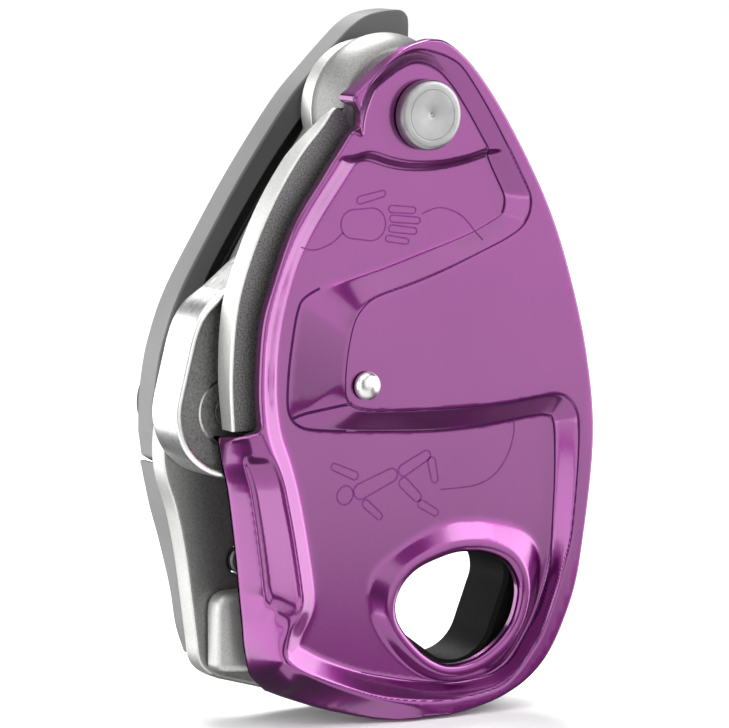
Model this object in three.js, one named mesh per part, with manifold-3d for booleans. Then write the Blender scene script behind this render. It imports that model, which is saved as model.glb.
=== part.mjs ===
// Assisted-braking belay device: a swinging side plate, a fixed frame with a
// rope channel and cam between them, and a fold-out release handle behind.
// Millimetres. +X right, +Z up, the swinging plate faces -Y.
// The origin is the centre of the carabiner hole, halfway through its depth.
import * as THREE from "three";
import Module from "manifold-3d";

const wasm = await Module();
wasm.setup();

// ---------------------------------------------------------------- dimensions
const GAP = 0.3;                 // clearance between neighbouring pieces
const SEGMENTS = 3;              // divisions of each spline span

// depths (Y) of the layers, from the front to the back
const PLATE_TOP = -9.0;          // island and right rim of the side plate
const BAND_TOP = -8.0;           // left band of the side plate
const SEAT_TOP = -7.4;           // seat round the main pin
const LIP_TOP = -7.5;            // flat lip round the carabiner hole
const PLATE_FLOOR = -6.0;        // floor of the two stamped pockets
const SHEET = 1.8;               // thickness of the side plate
const PLATE_BACK = PLATE_FLOOR + SHEET;
const EDGE_BACK = -0.4;          // rear edge of the skirt and the wear plate
const CHANNEL_FRONT = PLATE_BACK + GAP;
const CAM_FRONT = 0.2;
const CAM_BACK = 7.9;
const FRAME_FRONT = 8.3;
const FRAME_BACK = 12.3;
const HOLE_BACK = 7.5;           // frame face round the carabiner hole
const COVER_FRONT = FRAME_BACK + GAP;
const COVER_BACK = 16.2;
const HANDLE_FRONT = 12.9;
const HANDLE_BACK = 18.5;

// axes (X, Z) of the turning pieces
const PIVOT = [-6.7, 76.9];      // side plate
const AXLE = [-36.0, 32.2];      // cam and handle
const KNOB = [1.0, 42.0];        // mode selector
const RIVET = [-18.2, 36.2];     // wear plate rivet
const ANVIL_SCREW = [-30.1, 8.0];

const PIVOT_HEAD_R = 5.4;
const PIVOT_SHANK_R = 3.5;
const BOSS_R = 12.3;
const SPACER_R = 8.0;
const AXLE_R = 3.0;
const AXLE_HEAD_R = 5.1;
const HUB_R = 10.3;

// the carabiner hole is a rounded triangle: three corner circles [x, z, radius]
const HOLE = [[-6.2, 1.8, 5.4], [5.6, 4.1, 4.7], [1.0, -1.8, 6.8]];
const LINER_WALL = 1.4;
const LIP_WIDTH = 1.9;

const SKINS = {
  violet: { color: 0x9a539b, roughness: 0.3, metalness: 0.8 },
  steel: { color: 0xc4c4c2, roughness: 0.35, metalness: 0.9 },
  blasted: { color: 0x8c8c88, roughness: 0.6, metalness: 0.7 },
  cast: { color: 0xa9a9a6, roughness: 0.55, metalness: 0.6 },
  greyPlastic: { color: 0x9c9c9c, roughness: 0.5, metalness: 0.0 },
  blackPlastic: { color: 0x1c1c1c, roughness: 0.6, metalness: 0.0 },
  spring: { color: 0x8e9094, roughness: 0.3, metalness: 0.9 },
};

// ------------------------------------------------------------------- helpers

/** Closed outline: smooth stretches, straight corners and ready-made arcs. */
function outline(...stretches) {
  const points = [];
  for (const stretch of stretches) {
    if (stretch[0].isVector2) {
      points.push(...stretch);
      continue;
    }
    const bends = stretch.map(([x, z]) => new THREE.Vector2(x, z));
    if (bends.length < 3) points.push(...bends);
    else points.push(...new THREE.SplineCurve(bends).getPoints((bends.length - 1) * SEGMENTS));
  }
  const closed = (point, i) => point.distanceTo(points[(i + 1) % points.length]) < 0.02;
  return new THREE.Shape(points.filter((point, i) => !closed(point, i)));
}

/** Points of an arc about a centre, in degrees, counter-clockwise if end > start. */
function arc([x, z], radius, start, end, steps = 12) {
  const points = [];
  for (let i = 0; i <= steps; i += 1) {
    const angle = THREE.MathUtils.degToRad(start + ((end - start) * i) / steps);
    points.push(new THREE.Vector2(x + radius * Math.cos(angle), z + radius * Math.sin(angle)));
  }
  return points;
}

/** Outline through the given points with straight sides. */
function polygon(points) {
  return new THREE.Shape(points.map(([x, z]) => new THREE.Vector2(x, z)));
}

/** Convex outline wrapped round circles [x, z, radius], grown by a margin. */
function wrapped(circles, margin = 0, steps = 36) {
  const points = [];
  for (let i = 0; i < steps; i += 1) {
    const angle = (2 * Math.PI * i) / steps;
    const [c, s] = [Math.cos(angle), Math.sin(angle)];
    const reach = ([x, z, r]) => x * c + z * s + r;
    const far = circles.reduce((a, b) => (reach(b) > reach(a) ? b : a));
    const radius = far[2] + margin;
    points.push([far[0] + radius * c, far[1] + radius * s]);
  }
  return polygon(points);
}

/** Three.js geometry to a manifold solid. */
function solid(geometry) {
  const bare = geometry.index ? geometry.toNonIndexed() : geometry;
  const position = bare.attributes.position;
  const seen = new Map();
  const vertices = [];
  const corners = [];
  for (let i = 0; i < position.count; i += 1) {
    const point = [position.getX(i), position.getY(i), position.getZ(i)];
    const key = point.map((value) => Math.round(value * 1e5)).join(",");
    if (!seen.has(key)) {
      seen.set(key, vertices.length / 3);
      vertices.push(...point);
    }
    corners.push(seen.get(key));
  }
  const triangles = [];
  for (let i = 0; i < corners.length; i += 3) {
    const [a, b, c] = corners.slice(i, i + 3);
    if (a !== b && b !== c && a !== c) triangles.push(a, b, c);
  }
  return new wasm.Manifold(new wasm.Mesh({
    numProp: 3,
    vertProperties: new Float32Array(vertices),
    triVerts: new Uint32Array(triangles),
  }));
}

/** Solid with an X-Z outline that runs from one depth to another along Y. */
function slab(shape, front, back, options = {}) {
  const geometry = new THREE.ExtrudeGeometry(shape, {
    depth: back - front,
    bevelEnabled: false,
    curveSegments: SEGMENTS,
    ...options,
  });
  geometry.rotateX(Math.PI / 2);
  geometry.translate(0, back, 0);
  return solid(geometry);
}

/** Raised pad: its outline at the top depth, spreading by `spread` to the base. */
function pad(shape, top, base, spread) {
  const height = base - top;
  const whole = slab(shape, base, base + height, {
    depth: height,
    bevelEnabled: true,
    bevelThickness: height,
    bevelSize: spread,
    bevelSegments: 1,
  });
  return whole.intersect(slab(box2(-90, -60, 90, 140), top - 1, base));
}

function box2(x0, z0, x1, z1) {
  return polygon([[x0, z0], [x1, z0], [x1, z1], [x0, z1]]);
}

/** Round pin or disc along Y. */
function disc([x, z], radius, front, back, sides = 24) {
  const geometry = new THREE.CylinderGeometry(radius, radius, back - front, sides);
  geometry.translate(x, (front + back) / 2, z);
  return solid(geometry);
}

/** Turned piece: profile of [radius, depth] pairs spun about a Y axis. */
function turned([x, z], profile, sides = 24) {
  const points = profile.map(([radius, y]) => new THREE.Vector2(radius, y));
  const geometry = new THREE.LatheGeometry(points, sides);
  geometry.translate(x, 0, z);
  const body = solid(geometry);
  return body.volume() < 0 ? solid(flipped(geometry)) : body;
}

function flipped(geometry) {
  const copy = geometry.toNonIndexed();
  const position = copy.attributes.position;
  for (let i = 0; i < position.count; i += 3) {
    const b = new THREE.Vector3().fromBufferAttribute(position, i + 1);
    const c = new THREE.Vector3().fromBufferAttribute(position, i + 2);
    position.setXYZ(i + 1, c.x, c.y, c.z);
    position.setXYZ(i + 2, b.x, b.y, b.z);
  }
  return copy;
}

/** Ring along Y. */
function ring(centre, outer, inner, front, back) {
  return disc(centre, outer, front, back).subtract(disc(centre, inner, front - 1, back + 1));
}

/** Skin through closed cross-sections that all have the same number of points. */
function loft(sections) {
  const count = sections[0].length;
  const vertices = sections.flat(2);
  const triangles = [];
  for (let s = 0; s + 1 < sections.length; s += 1) {
    for (let i = 0; i < count; i += 1) {
      const a = s * count + i;
      const b = s * count + ((i + 1) % count);
      triangles.push(a, b, b + count, a, b + count, a + count);
    }
  }
  const last = (sections.length - 1) * count;
  for (let i = 1; i + 1 < count; i += 1) {
    triangles.push(0, i + 1, i, last, last + i, last + i + 1);
  }
  const geometry = new THREE.BufferGeometry();
  geometry.setAttribute("position", new THREE.Float32BufferAttribute(vertices, 3));
  geometry.setIndex(triangles);
  const body = solid(geometry);
  return body.volume() < 0 ? solid(flipped(geometry)) : body;
}

/** Round wire wound about a Y axis, its radius and depth running evenly from end to end. */
function coil([x, z], [inner, outer], wire, [front, back], turns) {
  const middle = new THREE.Curve();
  middle.getPoint = (t) => {
    const angle = 2 * Math.PI * turns * t;
    const radius = inner + (outer - inner) * t;
    const depth = front + (back - front) * t;
    return new THREE.Vector3(x + radius * Math.cos(angle), depth, z + radius * Math.sin(angle));
  };
  const section = new THREE.Shape();
  section.absarc(0, 0, wire, 0, 2 * Math.PI);
  const geometry = new THREE.ExtrudeGeometry(section, {
    steps: Math.round(12 * turns),
    extrudePath: middle,
    curveSegments: 3,
    bevelEnabled: false,
  });
  return solid(geometry);
}

/** Finished mesh with its own material. */
function piece(name, body, skin) {
  const mesh = body.getMesh();
  const geometry = new THREE.BufferGeometry();
  const indexed = new Float32Array(mesh.triVerts.length * 3);
  mesh.triVerts.forEach((vertex, i) => {
    const at = vertex * mesh.numProp;
    indexed.set(mesh.vertProperties.slice(at, at + 3), i * 3);
  });
  geometry.setAttribute("position", new THREE.BufferAttribute(indexed, 3));
  geometry.computeVertexNormals();
  const result = new THREE.Mesh(geometry, new THREE.MeshStandardMaterial(SKINS[skin]));
  result.name = name;
  return result;
}

// ------------------------------------------------------------ the side plate

const PLATE_RIGHT = [
  [-6.8, 88.5], [-3.3, 87.8], [1.7, 83.5], [7.8, 75.1], [14.6, 62.9], [19.0, 51.3],
  [22.3, 38.1], [23.5, 25.0], [21.6, 8.9], [19.4, -0.3], [14.5, -9.2], [7.2, -14.1],
  [-3.6, -16.4], [-13.2, -16.3], [-22.0, -14.4],
];
const NOTCH = [
  [-35.4, 30.7], [-35.6, 36.8], [-34.8, 46.0], [-32.7, 52.8], [-29.5, 60.9],
  [-24.6, 67.9], [-19.8, 74.4],
];
// stations of the bent skirt: front edge [x, z], rear edge [x, z], rear depth
const SKIRT = [
  [[-35.6, 29.6], [-39.0, 28.0], EDGE_BACK],
  [[-32.6, 25.0], [-38.4, 24.5], EDGE_BACK],
  [[-31.1, 20.9], [-37.4, 20.1], EDGE_BACK],
  [[-29.6, 12.5], [-36.2, 11.1], EDGE_BACK],
  [[-28.7, 4.6], [-35.4, 3.3], EDGE_BACK],
  [[-30.4, 0.6], [-35.0, -0.4], EDGE_BACK],
  [[-31.4, -4.0], [-34.6, -4.4], EDGE_BACK],
  [[-30.2, -8.0], [-33.6, -8.4], EDGE_BACK],
  [[-26.8, -11.6], [-31.2, -11.2], EDGE_BACK],
  [[-20.5, -14.4], [-22.6, -14.6], PLATE_BACK],
];

function plateOutline() {
  const skirtFront = SKIRT.map(([front]) => front).reverse();
  return outline(PLATE_RIGHT, skirtFront, NOTCH, [[-19.4, 77.6]], [[-20.3, 79.9]],
    [[-15.7, 83.8], [-11.3, 87.2], [-6.8, 88.5]]);
}

/** Raised face: the right rim and the island between the two pockets. */
function raisedOutline() {
  const upperPocketEdge = [
    [-18.3, 76.8], [-17.3, 81.1], [-14.6, 84.0], [-11.1, 86.2], [-7.0, 86.8], [-3.9, 86.0],
    [1.1, 79.8], [5.7, 73.7], [9.3, 68.1], [11.4, 63.6], [11.6, 60.8], [8.1, 57.8],
    [-4.8, 53.3], [-16.6, 49.9], [-19.9, 46.3], [-21.6, 37.0],
  ];
  const lowerPocketEdge = [
    [-21.2, 34.2], [-19.4, 32.8], [-9.2, 31.5], [6.6, 31.5], [16.4, 32.6], [19.2, 31.4],
    [20.8, 27.0], [20.3, 18.3], [17.0, 3.1], [11.9, -6.4], [7.6, -10.9], [-4.2, -13.1],
    [-16.8, -11.6], [-26.0, -8.4],
  ];
  return outline([[-22.0, 76.0]], upperPocketEdge, lowerPocketEdge,
    [[-36.0, -30.0]], [[40.0, -30.0]], [[40.0, 100.0]], [[-22.0, 100.0]]);
}

/** Seat round the main pin, a step above the floor of the upper pocket. */
function seatOutline() {
  return outline([[-40.0, 73.0]], [[-21.0, 71.0], [-15.5, 71.4], [-6.2, 69.6], [4.5, 71.2]],
    [[20.0, 76.0]], [[20.0, 100.0]], [[-40.0, 100.0]]);
}

/** Low band along the left edge, between the pockets and the skirt. */
function bandOutline() {
  const inner = [
    [-27.0, -6.5], [-27.6, -2.0], [-26.6, 4.0], [-26.4, 12.0], [-27.8, 20.0], [-30.0, 26.5],
  ];
  return outline(inner, [[-33.2, 30.0]], [[-33.4, 37.0], [-32.6, 45.5], [-30.4, 52.4]],
    [[-40.0, 52.4]], [[-40.0, -6.5]]);
}

function movingSidePlate() {
  const hole = wrapped(HOLE);
  const edge = slab(plateOutline(), PLATE_TOP - 1, PLATE_BACK + 1);
  const pads = (shift) => pad(raisedOutline(), PLATE_TOP + shift, PLATE_FLOOR + shift, 2.2)
    .add(pad(bandOutline(), BAND_TOP + shift, PLATE_FLOOR + shift, 1.6))
    .add(pad(seatOutline(), SEAT_TOP + shift, PLATE_FLOOR + shift, 1.0))
    .add(pad(wrapped(HOLE, LIP_WIDTH), LIP_TOP + shift, PLATE_FLOOR + shift, 2.4));
  const stamped = slab(plateOutline(), PLATE_FLOOR, PLATE_BACK)
    .add(pads(0))
    .subtract(pads(SHEET))
    .intersect(edge);
  return stamped
    .add(skirt())
    .add(upperFlange())
    .subtract(slab(hole, PLATE_TOP - 1, PLATE_BACK + 1))
    .subtract(disc(PIVOT, PIVOT_SHANK_R + GAP, PLATE_TOP - 1, PLATE_BACK + 1))
    .subtract(disc(RIVET, 1.2 + GAP, PLATE_TOP - 1, PLATE_BACK + 1));
}

function skirt() {
  const inset = 2.0;
  return loft(SKIRT.map(([[fx, fz], [rx, rz], depth], i) => {
    const front = i === SKIRT.length - 1 ? PLATE_FLOOR : BAND_TOP;
    return [
      [fx, front, fz],
      [(fx + rx) / 2 - 0.5, (front + depth) / 2 - 0.6, (fz + rz) / 2],
      [rx, depth, rz],
      [rx + inset, depth, rz + 0.4],
      [fx + inset, front + SHEET + 0.6, fz + 0.6],
    ];
  }));
}

/** Edge bent back over the top-left corner. */
function upperFlange() {
  const fold = [[-20.0, 79.6], [-15.5, 83.6], [-11.1, 87.0], [-7.0, 88.2]];
  const reach = [1.3, 1.2, 0.8, 0.1];
  const wall = 1.4;
  return loft(fold.map(([x, z], i) => [
    [x, PLATE_TOP + 0.3, z],
    [x - reach[i], PLATE_BACK - 0.6, z + reach[i]],
    [x - reach[i] + wall, PLATE_BACK - 0.6, z + reach[i] - wall],
    [x + wall, PLATE_TOP + SHEET, z - wall],
  ]));
}

// ------------------------------------------------------------ the wear plate

// stations up the notch: rolled rear edge, front edge of the roll, inner edge
const WEAR = [
  [[-38.5, 29.9], [-38.2, 29.9], [-30.0, 29.9]],
  [[-39.2, 38.7], [-38.4, 38.4], [-30.0, 38.4]],
  [[-38.4, 49.1], [-37.4, 48.7], [-28.0, 46.5]],
  [[-35.4, 57.5], [-34.6, 57.2], [-26.5, 53.0]],
  [[-31.9, 64.5], [-30.9, 64.6], [-23.5, 60.0]],
  [[-27.4, 71.0], [-26.6, 71.0], [-20.5, 66.5]],
  [[-23.3, 75.4], [-22.6, 75.4], [-17.8, 71.0]],
  [[-20.6, 77.7], [-20.4, 77.4], [-18.9, 75.9]],
];

function wearPlate() {
  const front = CHANNEL_FRONT;
  const wall = 1.4;
  const rolled = loft(WEAR.map(([[rx, rz], [bx, bz], [ix, iz]], i) => {
    const depth = i >= 6 ? EDGE_BACK - 1.4 * (i - 5) : EDGE_BACK;
    return [
      [bx, front, bz],
      [(bx + rx) / 2 - 0.5, front + 1.0, (bz + rz) / 2],
      [rx, (front + depth) / 2 + 0.6, rz],
      [rx + 0.2, depth, rz],
      [rx + wall + 0.1, depth, rz - 0.1],
      [bx + wall + 0.5, front + wall, bz - 0.2],
      [ix, front + wall, iz],
      [ix, front, iz],
    ];
  }));
  const tongue = slab(outline([[-31.0, 31.0]], [[-20.0, 31.0]], arc(RIVET, 4.4, -90, 90),
    [[-22.0, 42.0]], [[-29.5, 44.0]]), front, front + wall);
  return rolled.add(tongue).subtract(disc(RIVET, 1.2 + GAP, front - 1, front + 3));
}

function wearPlateRivet() {
  const top = PLATE_TOP - 1.9;
  const under = PLATE_TOP - GAP;
  return turned(RIVET, [
    [0, top], [0.9, top + 0.15], [1.7, top + 0.7], [2.2, under - 0.3], [2.2, under],
    [1.2, under], [1.2, CHANNEL_FRONT + 1.4 + GAP], [2.2, CHANNEL_FRONT + 1.4 + GAP],
    [2.2, CHANNEL_FRONT + 2.5], [0, CHANNEL_FRONT + 2.5],
  ], 24);
}

// -------------------------------------------------------------- the main pin

function mainPivotPin() {
  const under = SEAT_TOP - GAP;
  const top = under - 1.9;
  return turned(PIVOT, [
    [0, top + 0.25], [0.35, top], [PIVOT_HEAD_R - 0.5, top], [PIVOT_HEAD_R, top + 0.5],
    [PIVOT_HEAD_R, under], [PIVOT_SHANK_R, under], [PIVOT_SHANK_R, FRAME_BACK - 0.2],
    [0, FRAME_BACK - 0.2],
  ], 40);
}

function pivotSpacer() {
  return ring(PIVOT, SPACER_R, PIVOT_SHANK_R + GAP, CHANNEL_FRONT, CAM_FRONT - GAP);
}

function pivotWasher() {
  return ring(PIVOT, 5.6, PIVOT_SHANK_R + GAP, FRAME_BACK - 1.6, FRAME_BACK - 0.2);
}

// ----------------------------------------------------------------- the frame

const FRAME_LEFT = [
  [-41.2, 40.2], [-42.6, 35.0], [-43.8, 28.0], [-43.6, 22.5], [-41.7, 16.5], [-40.2, 9.6],
  [-39.2, 2.8], [-38.4, -3.0], [-37.8, -7.0], [-36.4, -9.0], [-34.1, -10.3],
];
const FRAME_BOTTOM = [
  [-28.0, -12.0], [-20.0, -14.2], [-10.0, -15.6], [0.0, -15.6], [8.0, -12.9], [14.0, -8.0],
];
const FRAME_RIGHT = [
  [18.4, -0.5], [20.5, 8.0], [22.4, 23.0], [21.2, 38.0], [17.9, 50.8], [13.5, 62.2],
  [6.9, 74.1], [1.0, 82.4],
];
const REAR_LIP = LINER_WALL + GAP + 2.4;

function framePlate() {
  const shape = outline(FRAME_LEFT, FRAME_BOTTOM, FRAME_RIGHT, arc(PIVOT, BOSS_R, 42, 196),
    [[-21.5, 67.5], [-27.0, 59.5], [-31.5, 52.0]], [[-38.0, 43.5]]);
  const wallShape = outline(FRAME_RIGHT.slice(1), [[-1.4, 80.6], [4.2, 73.0], [10.9, 61.2],
    [15.3, 49.9], [18.6, 37.4], [19.8, 23.0], [17.9, 8.6]]);
  return slab(shape, FRAME_FRONT, FRAME_BACK)
    .add(slab(wallShape, CHANNEL_FRONT, FRAME_FRONT + 0.5))
    .add(disc(PIVOT, BOSS_R, CAM_FRONT, FRAME_FRONT + 0.5, 48))
    .add(slab(wrapped(HOLE, REAR_LIP + 1.6), HOLE_BACK - 3.5, FRAME_FRONT + 0.5))
    .subtract(slab(wrapped(HOLE, REAR_LIP), HOLE_BACK, FRAME_BACK + 1))
    .subtract(slab(wrapped(HOLE, LINER_WALL + GAP), CHANNEL_FRONT, FRAME_BACK + 1))
    .subtract(disc(PIVOT, PIVOT_SHANK_R + GAP, CAM_FRONT - 1, FRAME_BACK + 1))
    .subtract(disc(PIVOT, 5.9, FRAME_BACK - 1.9, FRAME_BACK + 1))
    .subtract(disc(PIVOT, SPACER_R + GAP, CHANNEL_FRONT - 1, CAM_FRONT))
    .subtract(disc(AXLE, AXLE_R + GAP, FRAME_FRONT - 1, FRAME_BACK + 1))
    .subtract(disc(AXLE, 6.9, FRAME_FRONT + 1.5, FRAME_BACK + 1))
    .subtract(disc(ANVIL_SCREW, 2.4, FRAME_FRONT - 1, FRAME_FRONT + 1.6))
    .subtract(disc(ANVIL_SCREW, 1.2 + GAP, FRAME_FRONT, FRAME_BACK + 1))
    .subtract(disc(CAM_STOP, 1.5 + GAP, FRAME_FRONT - 1, FRAME_BACK + 1))
    .subtract(screwHoles(FRAME_FRONT + 1.0, FRAME_BACK + 1));
}

function frictionAnvil() {
  const shape = outline([[-35.7, -7.6], [-36.4, -2.0], [-36.6, 1.0]],
    arc([-33.9, 1.4], 2.6, 180, 80, 6), [[-24.0, 3.4]], [[-21.0, 1.0]], [[-21.0, -6.0]],
    [[-24.0, -8.6]]);
  return pad(shape, 3.4, 4.6, 0.0).add(slab(shape, 4.5, FRAME_FRONT - GAP));
}

function anvilScrew() {
  const [x, z] = ANVIL_SCREW;
  const head = disc(ANVIL_SCREW, 2.1, FRAME_FRONT - 0.3, FRAME_FRONT + 1.3);
  const socket = disc([x, z], 1.1, FRAME_FRONT - 1, FRAME_FRONT + 0.6, 6);
  return head.add(disc(ANVIL_SCREW, 1.2, FRAME_FRONT + 1, FRAME_BACK)).subtract(socket);
}

function holeLiner() {
  return slab(wrapped(HOLE, LINER_WALL), CHANNEL_FRONT, HOLE_BACK - 0.3)
    .subtract(slab(wrapped(HOLE, 0.1), CHANNEL_FRONT - 1, HOLE_BACK + 1));
}

// ------------------------------------------------------------------- the cam

const CAM_STOP = [-19.0, 20.4];

function camOutline() {
  return outline(arc(AXLE, 10.2, 270, 165), [[-43.6, 43.4], [-42.4, 46.4], [-40.4, 48.9],
    [-37.4, 50.9]], [[-33.0, 54.3], [-27.5, 57.4], [-20.0, 57.6], [-12.6, 53.6],
    [-8.8, 46.0], [-9.4, 37.4], [-15.0, 30.6], [-24.0, 25.4]]);
}

function camRecess() {
  return outline(arc(AXLE, 8.8, 270, 165), [[-42.2, 43.2], [-41.2, 45.7], [-39.6, 47.7],
    [-36.6, 49.6]], [[-32.0, 52.8], [-27.0, 55.0]], [[-20.5, 52.0]], [[-19.0, 34.0]],
    [[-25.0, 28.0]]);
}

function cam() {
  return slab(camOutline(), CAM_FRONT, CAM_BACK)
    .subtract(slab(camRecess(), CAM_FRONT - 1, CAM_FRONT + 1.5))
    .subtract(ropeGroove())
    .subtract(disc(AXLE, AXLE_HEAD_R + GAP, CAM_FRONT, CAM_FRONT + 3.4))
    .subtract(disc(AXLE, 4.9, CAM_FRONT, CAM_BACK + 1));
}

/** Rounded groove for the rope round the lobe of the cam. */
function ropeGroove() {
  const depth = (CAM_FRONT + CAM_BACK) / 2;
  const path = new THREE.CatmullRomCurve3([
    [-36.0, 62.0], [-27.0, 60.6], [-18.6, 60.6], [-9.6, 55.6], [-5.0, 46.0], [-5.6, 35.6],
    [-12.6, 27.4], [-22.0, 21.6],
  ].map(([x, z]) => new THREE.Vector3(x, depth, z)));
  const rope = new THREE.Shape();
  rope.absarc(0, 0, 5.0, 0, 2 * Math.PI);
  return solid(new THREE.ExtrudeGeometry(rope, {
    steps: 28, extrudePath: path, curveSegments: 8, bevelEnabled: false,
  }));
}

function camBushing() {
  return ring(AXLE, 4.6, AXLE_R + GAP, CAM_FRONT + 3.7, CAM_BACK);
}

function camAxle() {
  const head = CAM_FRONT + 1.5;
  return turned(AXLE, [
    [0, head], [AXLE_HEAD_R - 0.2, head], [AXLE_HEAD_R, head + 0.2], [AXLE_HEAD_R, head + 1.6],
    [AXLE_R, head + 1.6], [AXLE_R, HANDLE_BACK + 0.1], [0, HANDLE_BACK + 0.1],
  ]);
}

function axleNut() {
  return turned(AXLE, [
    [0, HANDLE_BACK + 0.4], [4.6, HANDLE_BACK + 0.4], [5.0, HANDLE_BACK + 0.8],
    [4.6, HANDLE_BACK + 1.8], [0, HANDLE_BACK + 1.8],
  ]);
}

/** Flat spiral in the pocket behind the frame, round the axle. */
function camSpring() {
  return coil(AXLE, [4.0, 6.1], 0.4, [FRAME_BACK - 1.6, FRAME_BACK - 1.0], 1.8);
}

// ---------------------------------------------------------------- the handle

const HANDLE_OUTER = [
  [7.2, 88.0], [6.3, 90.2], [1.5, 91.7], [-3.1, 91.3], [-8.2, 88.4], [-13.6, 83.3],
  [-21.2, 74.9], [-26.8, 67.7], [-32.3, 59.7], [-36.2, 53.7], [-38.8, 49.0], [-40.6, 44.5],
  [-42.0, 39.5], [-42.8, 34.0], [-42.9, 29.0],
];
const HANDLE_INNER = [
  [-25.7, 32.4], [-25.3, 39.0], [-23.0, 46.5], [-18.6, 55.0], [-12.2, 63.8], [-4.4, 72.4],
  [3.0, 79.6], [7.2, 84.0],
];

function handleShell() {
  const shape = outline(HANDLE_OUTER, arc(AXLE, HUB_R, 232, 360), HANDLE_INNER);
  const hollow = outline([[-3.0, 87.6], [-6.4, 85.9], [-11.6, 81.0], [-18.8, 72.9],
    [-24.2, 65.8], [-29.6, 57.8], [-33.4, 51.6], [-35.4, 47.0]], [[-34.0, 44.0]],
    [[-29.0, 43.0]], [[-25.4, 46.5], [-21.0, 55.0], [-14.0, 64.8], [-6.4, 73.4], [-1.0, 78.8]],
    [[1.0, 82.0]]);
  return slab(shape, HANDLE_FRONT, HANDLE_BACK)
    .subtract(slab(hollow, HANDLE_FRONT - 1, HANDLE_FRONT + 3.4))
    .subtract(disc(AXLE, AXLE_R + GAP, HANDLE_FRONT - 1, HANDLE_BACK + 1))
    .subtract(disc(AXLE, 6.4, HANDLE_BACK - 2.4, HANDLE_BACK + 1));
}

function handleCore() {
  const shape = outline([[-3.5, 87.0], [-6.6, 85.2], [-11.4, 80.5], [-18.4, 72.5],
    [-23.8, 65.5], [-29.1, 57.6], [-32.9, 51.4], [-34.8, 47.0]], [[-33.6, 44.4]],
    [[-29.2, 43.5]], [[-25.9, 46.7], [-21.5, 55.2], [-14.4, 65.1], [-6.8, 73.8], [-1.5, 79.2]],
    [[0.4, 82.0]]);
  return slab(shape, HANDLE_FRONT + 1.4, HANDLE_FRONT + 3.1);
}

/** Flat spiral in the pocket at the back of the handle's hub. */
function handleSpring() {
  return coil(AXLE, [3.8, 5.7], 0.4, [HANDLE_BACK - 1.5, HANDLE_BACK - 0.9], 1.7);
}

// ------------------------------------------------------------------ the back

const SCREWS = [[-11.0, 60.0], [13.0, 33.0], [-24.0, 22.0]];

function screwHoles(front, back) {
  return SCREWS.map((centre) => disc(centre, 1.2 + GAP, front, back, 20))
    .reduce((all, one) => all.add(one));
}

function rearCover() {
  const shape = outline([[-24.6, 31.0], [-24.2, 39.2], [-21.9, 46.3], [-17.6, 54.6],
    [-11.3, 63.0], [-3.6, 71.4], [2.2, 77.0]], [[5.4, 73.4], [12.0, 61.6], [16.3, 50.2],
    [19.5, 37.6], [20.6, 24.0]], arc([0, 0], 18.6, 42, 144),
    [[-28.2, 14.6]], [[-28.6, 21.0]]);
  const seat = screwHoles(COVER_FRONT - 1, COVER_BACK + 1)
    .add(SCREWS.map((centre) => disc(centre, 2.5, COVER_BACK - 1.6, COVER_BACK + 1, 24))
      .reduce((all, one) => all.add(one)));
  return slab(shape, COVER_FRONT, COVER_BACK)
    .subtract(seat)
    .subtract(disc(KNOB, 2.0 + GAP, COVER_FRONT - 1, COVER_BACK + 1))
    .subtract(disc(DETENT, 1.6, COVER_FRONT + 0.7, COVER_BACK + 1, 24));
}

function rearGuard() {
  const shape = outline([[-42.5, 22.9], [-41.1, 16.5], [-39.4, 10.6], [-37.5, 3.0],
    [-36.5, -3.0], [-35.0, -7.4]], [[-32.2, -8.4]], [[-29.0, -5.0], [-29.4, 6.0],
    [-29.6, 14.0]], [[-29.8, 20.0]], arc(AXLE, HUB_R + 0.5, 296, 236, 8));
  return slab(shape, COVER_FRONT, HANDLE_BACK);
}

function coverScrew(centre) {
  const head = disc(centre, 2.2, COVER_BACK - 1.3, COVER_BACK, 24);
  const socket = disc(centre, 1.1, COVER_BACK - 0.8, COVER_BACK + 1, 6);
  return head.add(disc(centre, 1.2, FRAME_FRONT + 1.3, COVER_BACK - 1, 20)).subtract(socket);
}

// -------------------------------------------------------------- the selector

const DETENT = [KNOB[0] + 5.6, KNOB[1]];
const KNOB_FRONT = COVER_BACK + GAP;
const KNOB_BACK = KNOB_FRONT + 3.8;

function modeSelectorKnob() {
  const grip = wrapped([[KNOB[0], KNOB[1], 8.4], [KNOB[0] + 9.2, KNOB[1] + 3.2, 2.2]]);
  const bar = outline([[KNOB[0] - 6.6, KNOB[1] + 3.4]], [[KNOB[0] - 6.6, KNOB[1] - 3.4]],
    [[KNOB[0] + 6.2, KNOB[1] - 1.4]], [[KNOB[0] + 6.2, KNOB[1] + 1.4]]);
  const track = ring(KNOB, 7.2, 4.0, KNOB_FRONT - 1, KNOB_FRONT + 1.1);
  return slab(grip, KNOB_FRONT, KNOB_BACK - 1.2)
    .add(slab(bar, KNOB_FRONT + 1, KNOB_BACK))
    .subtract(track)
    .subtract(disc(KNOB, 2.0 + GAP, KNOB_FRONT - 1, KNOB_BACK + 1))
    .subtract(disc(KNOB, 3.5, KNOB_BACK - 1.7, KNOB_BACK + 1));
}

function selectorScrew() {
  return disc(KNOB, 3.1, KNOB_BACK - 1.4, KNOB_BACK - 0.3, 28)
    .add(disc(KNOB, 2.0, COVER_FRONT + 0.2, KNOB_BACK - 1.3, 24))
    .subtract(disc(KNOB, 1.3, KNOB_BACK - 1.0, KNOB_BACK + 1, 6));
}

function detentBall() {
  const radius = 1.25;
  const centre = KNOB_FRONT + 0.8 - radius;
  const profile = [];
  for (let i = 0; i <= 8; i += 1) {
    const angle = (Math.PI * i) / 8;
    profile.push([radius * Math.sin(angle), centre - radius * Math.cos(angle)]);
  }
  profile[0][0] = 0;
  profile[8][0] = 0;
  return turned(DETENT, profile, 16);
}

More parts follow.
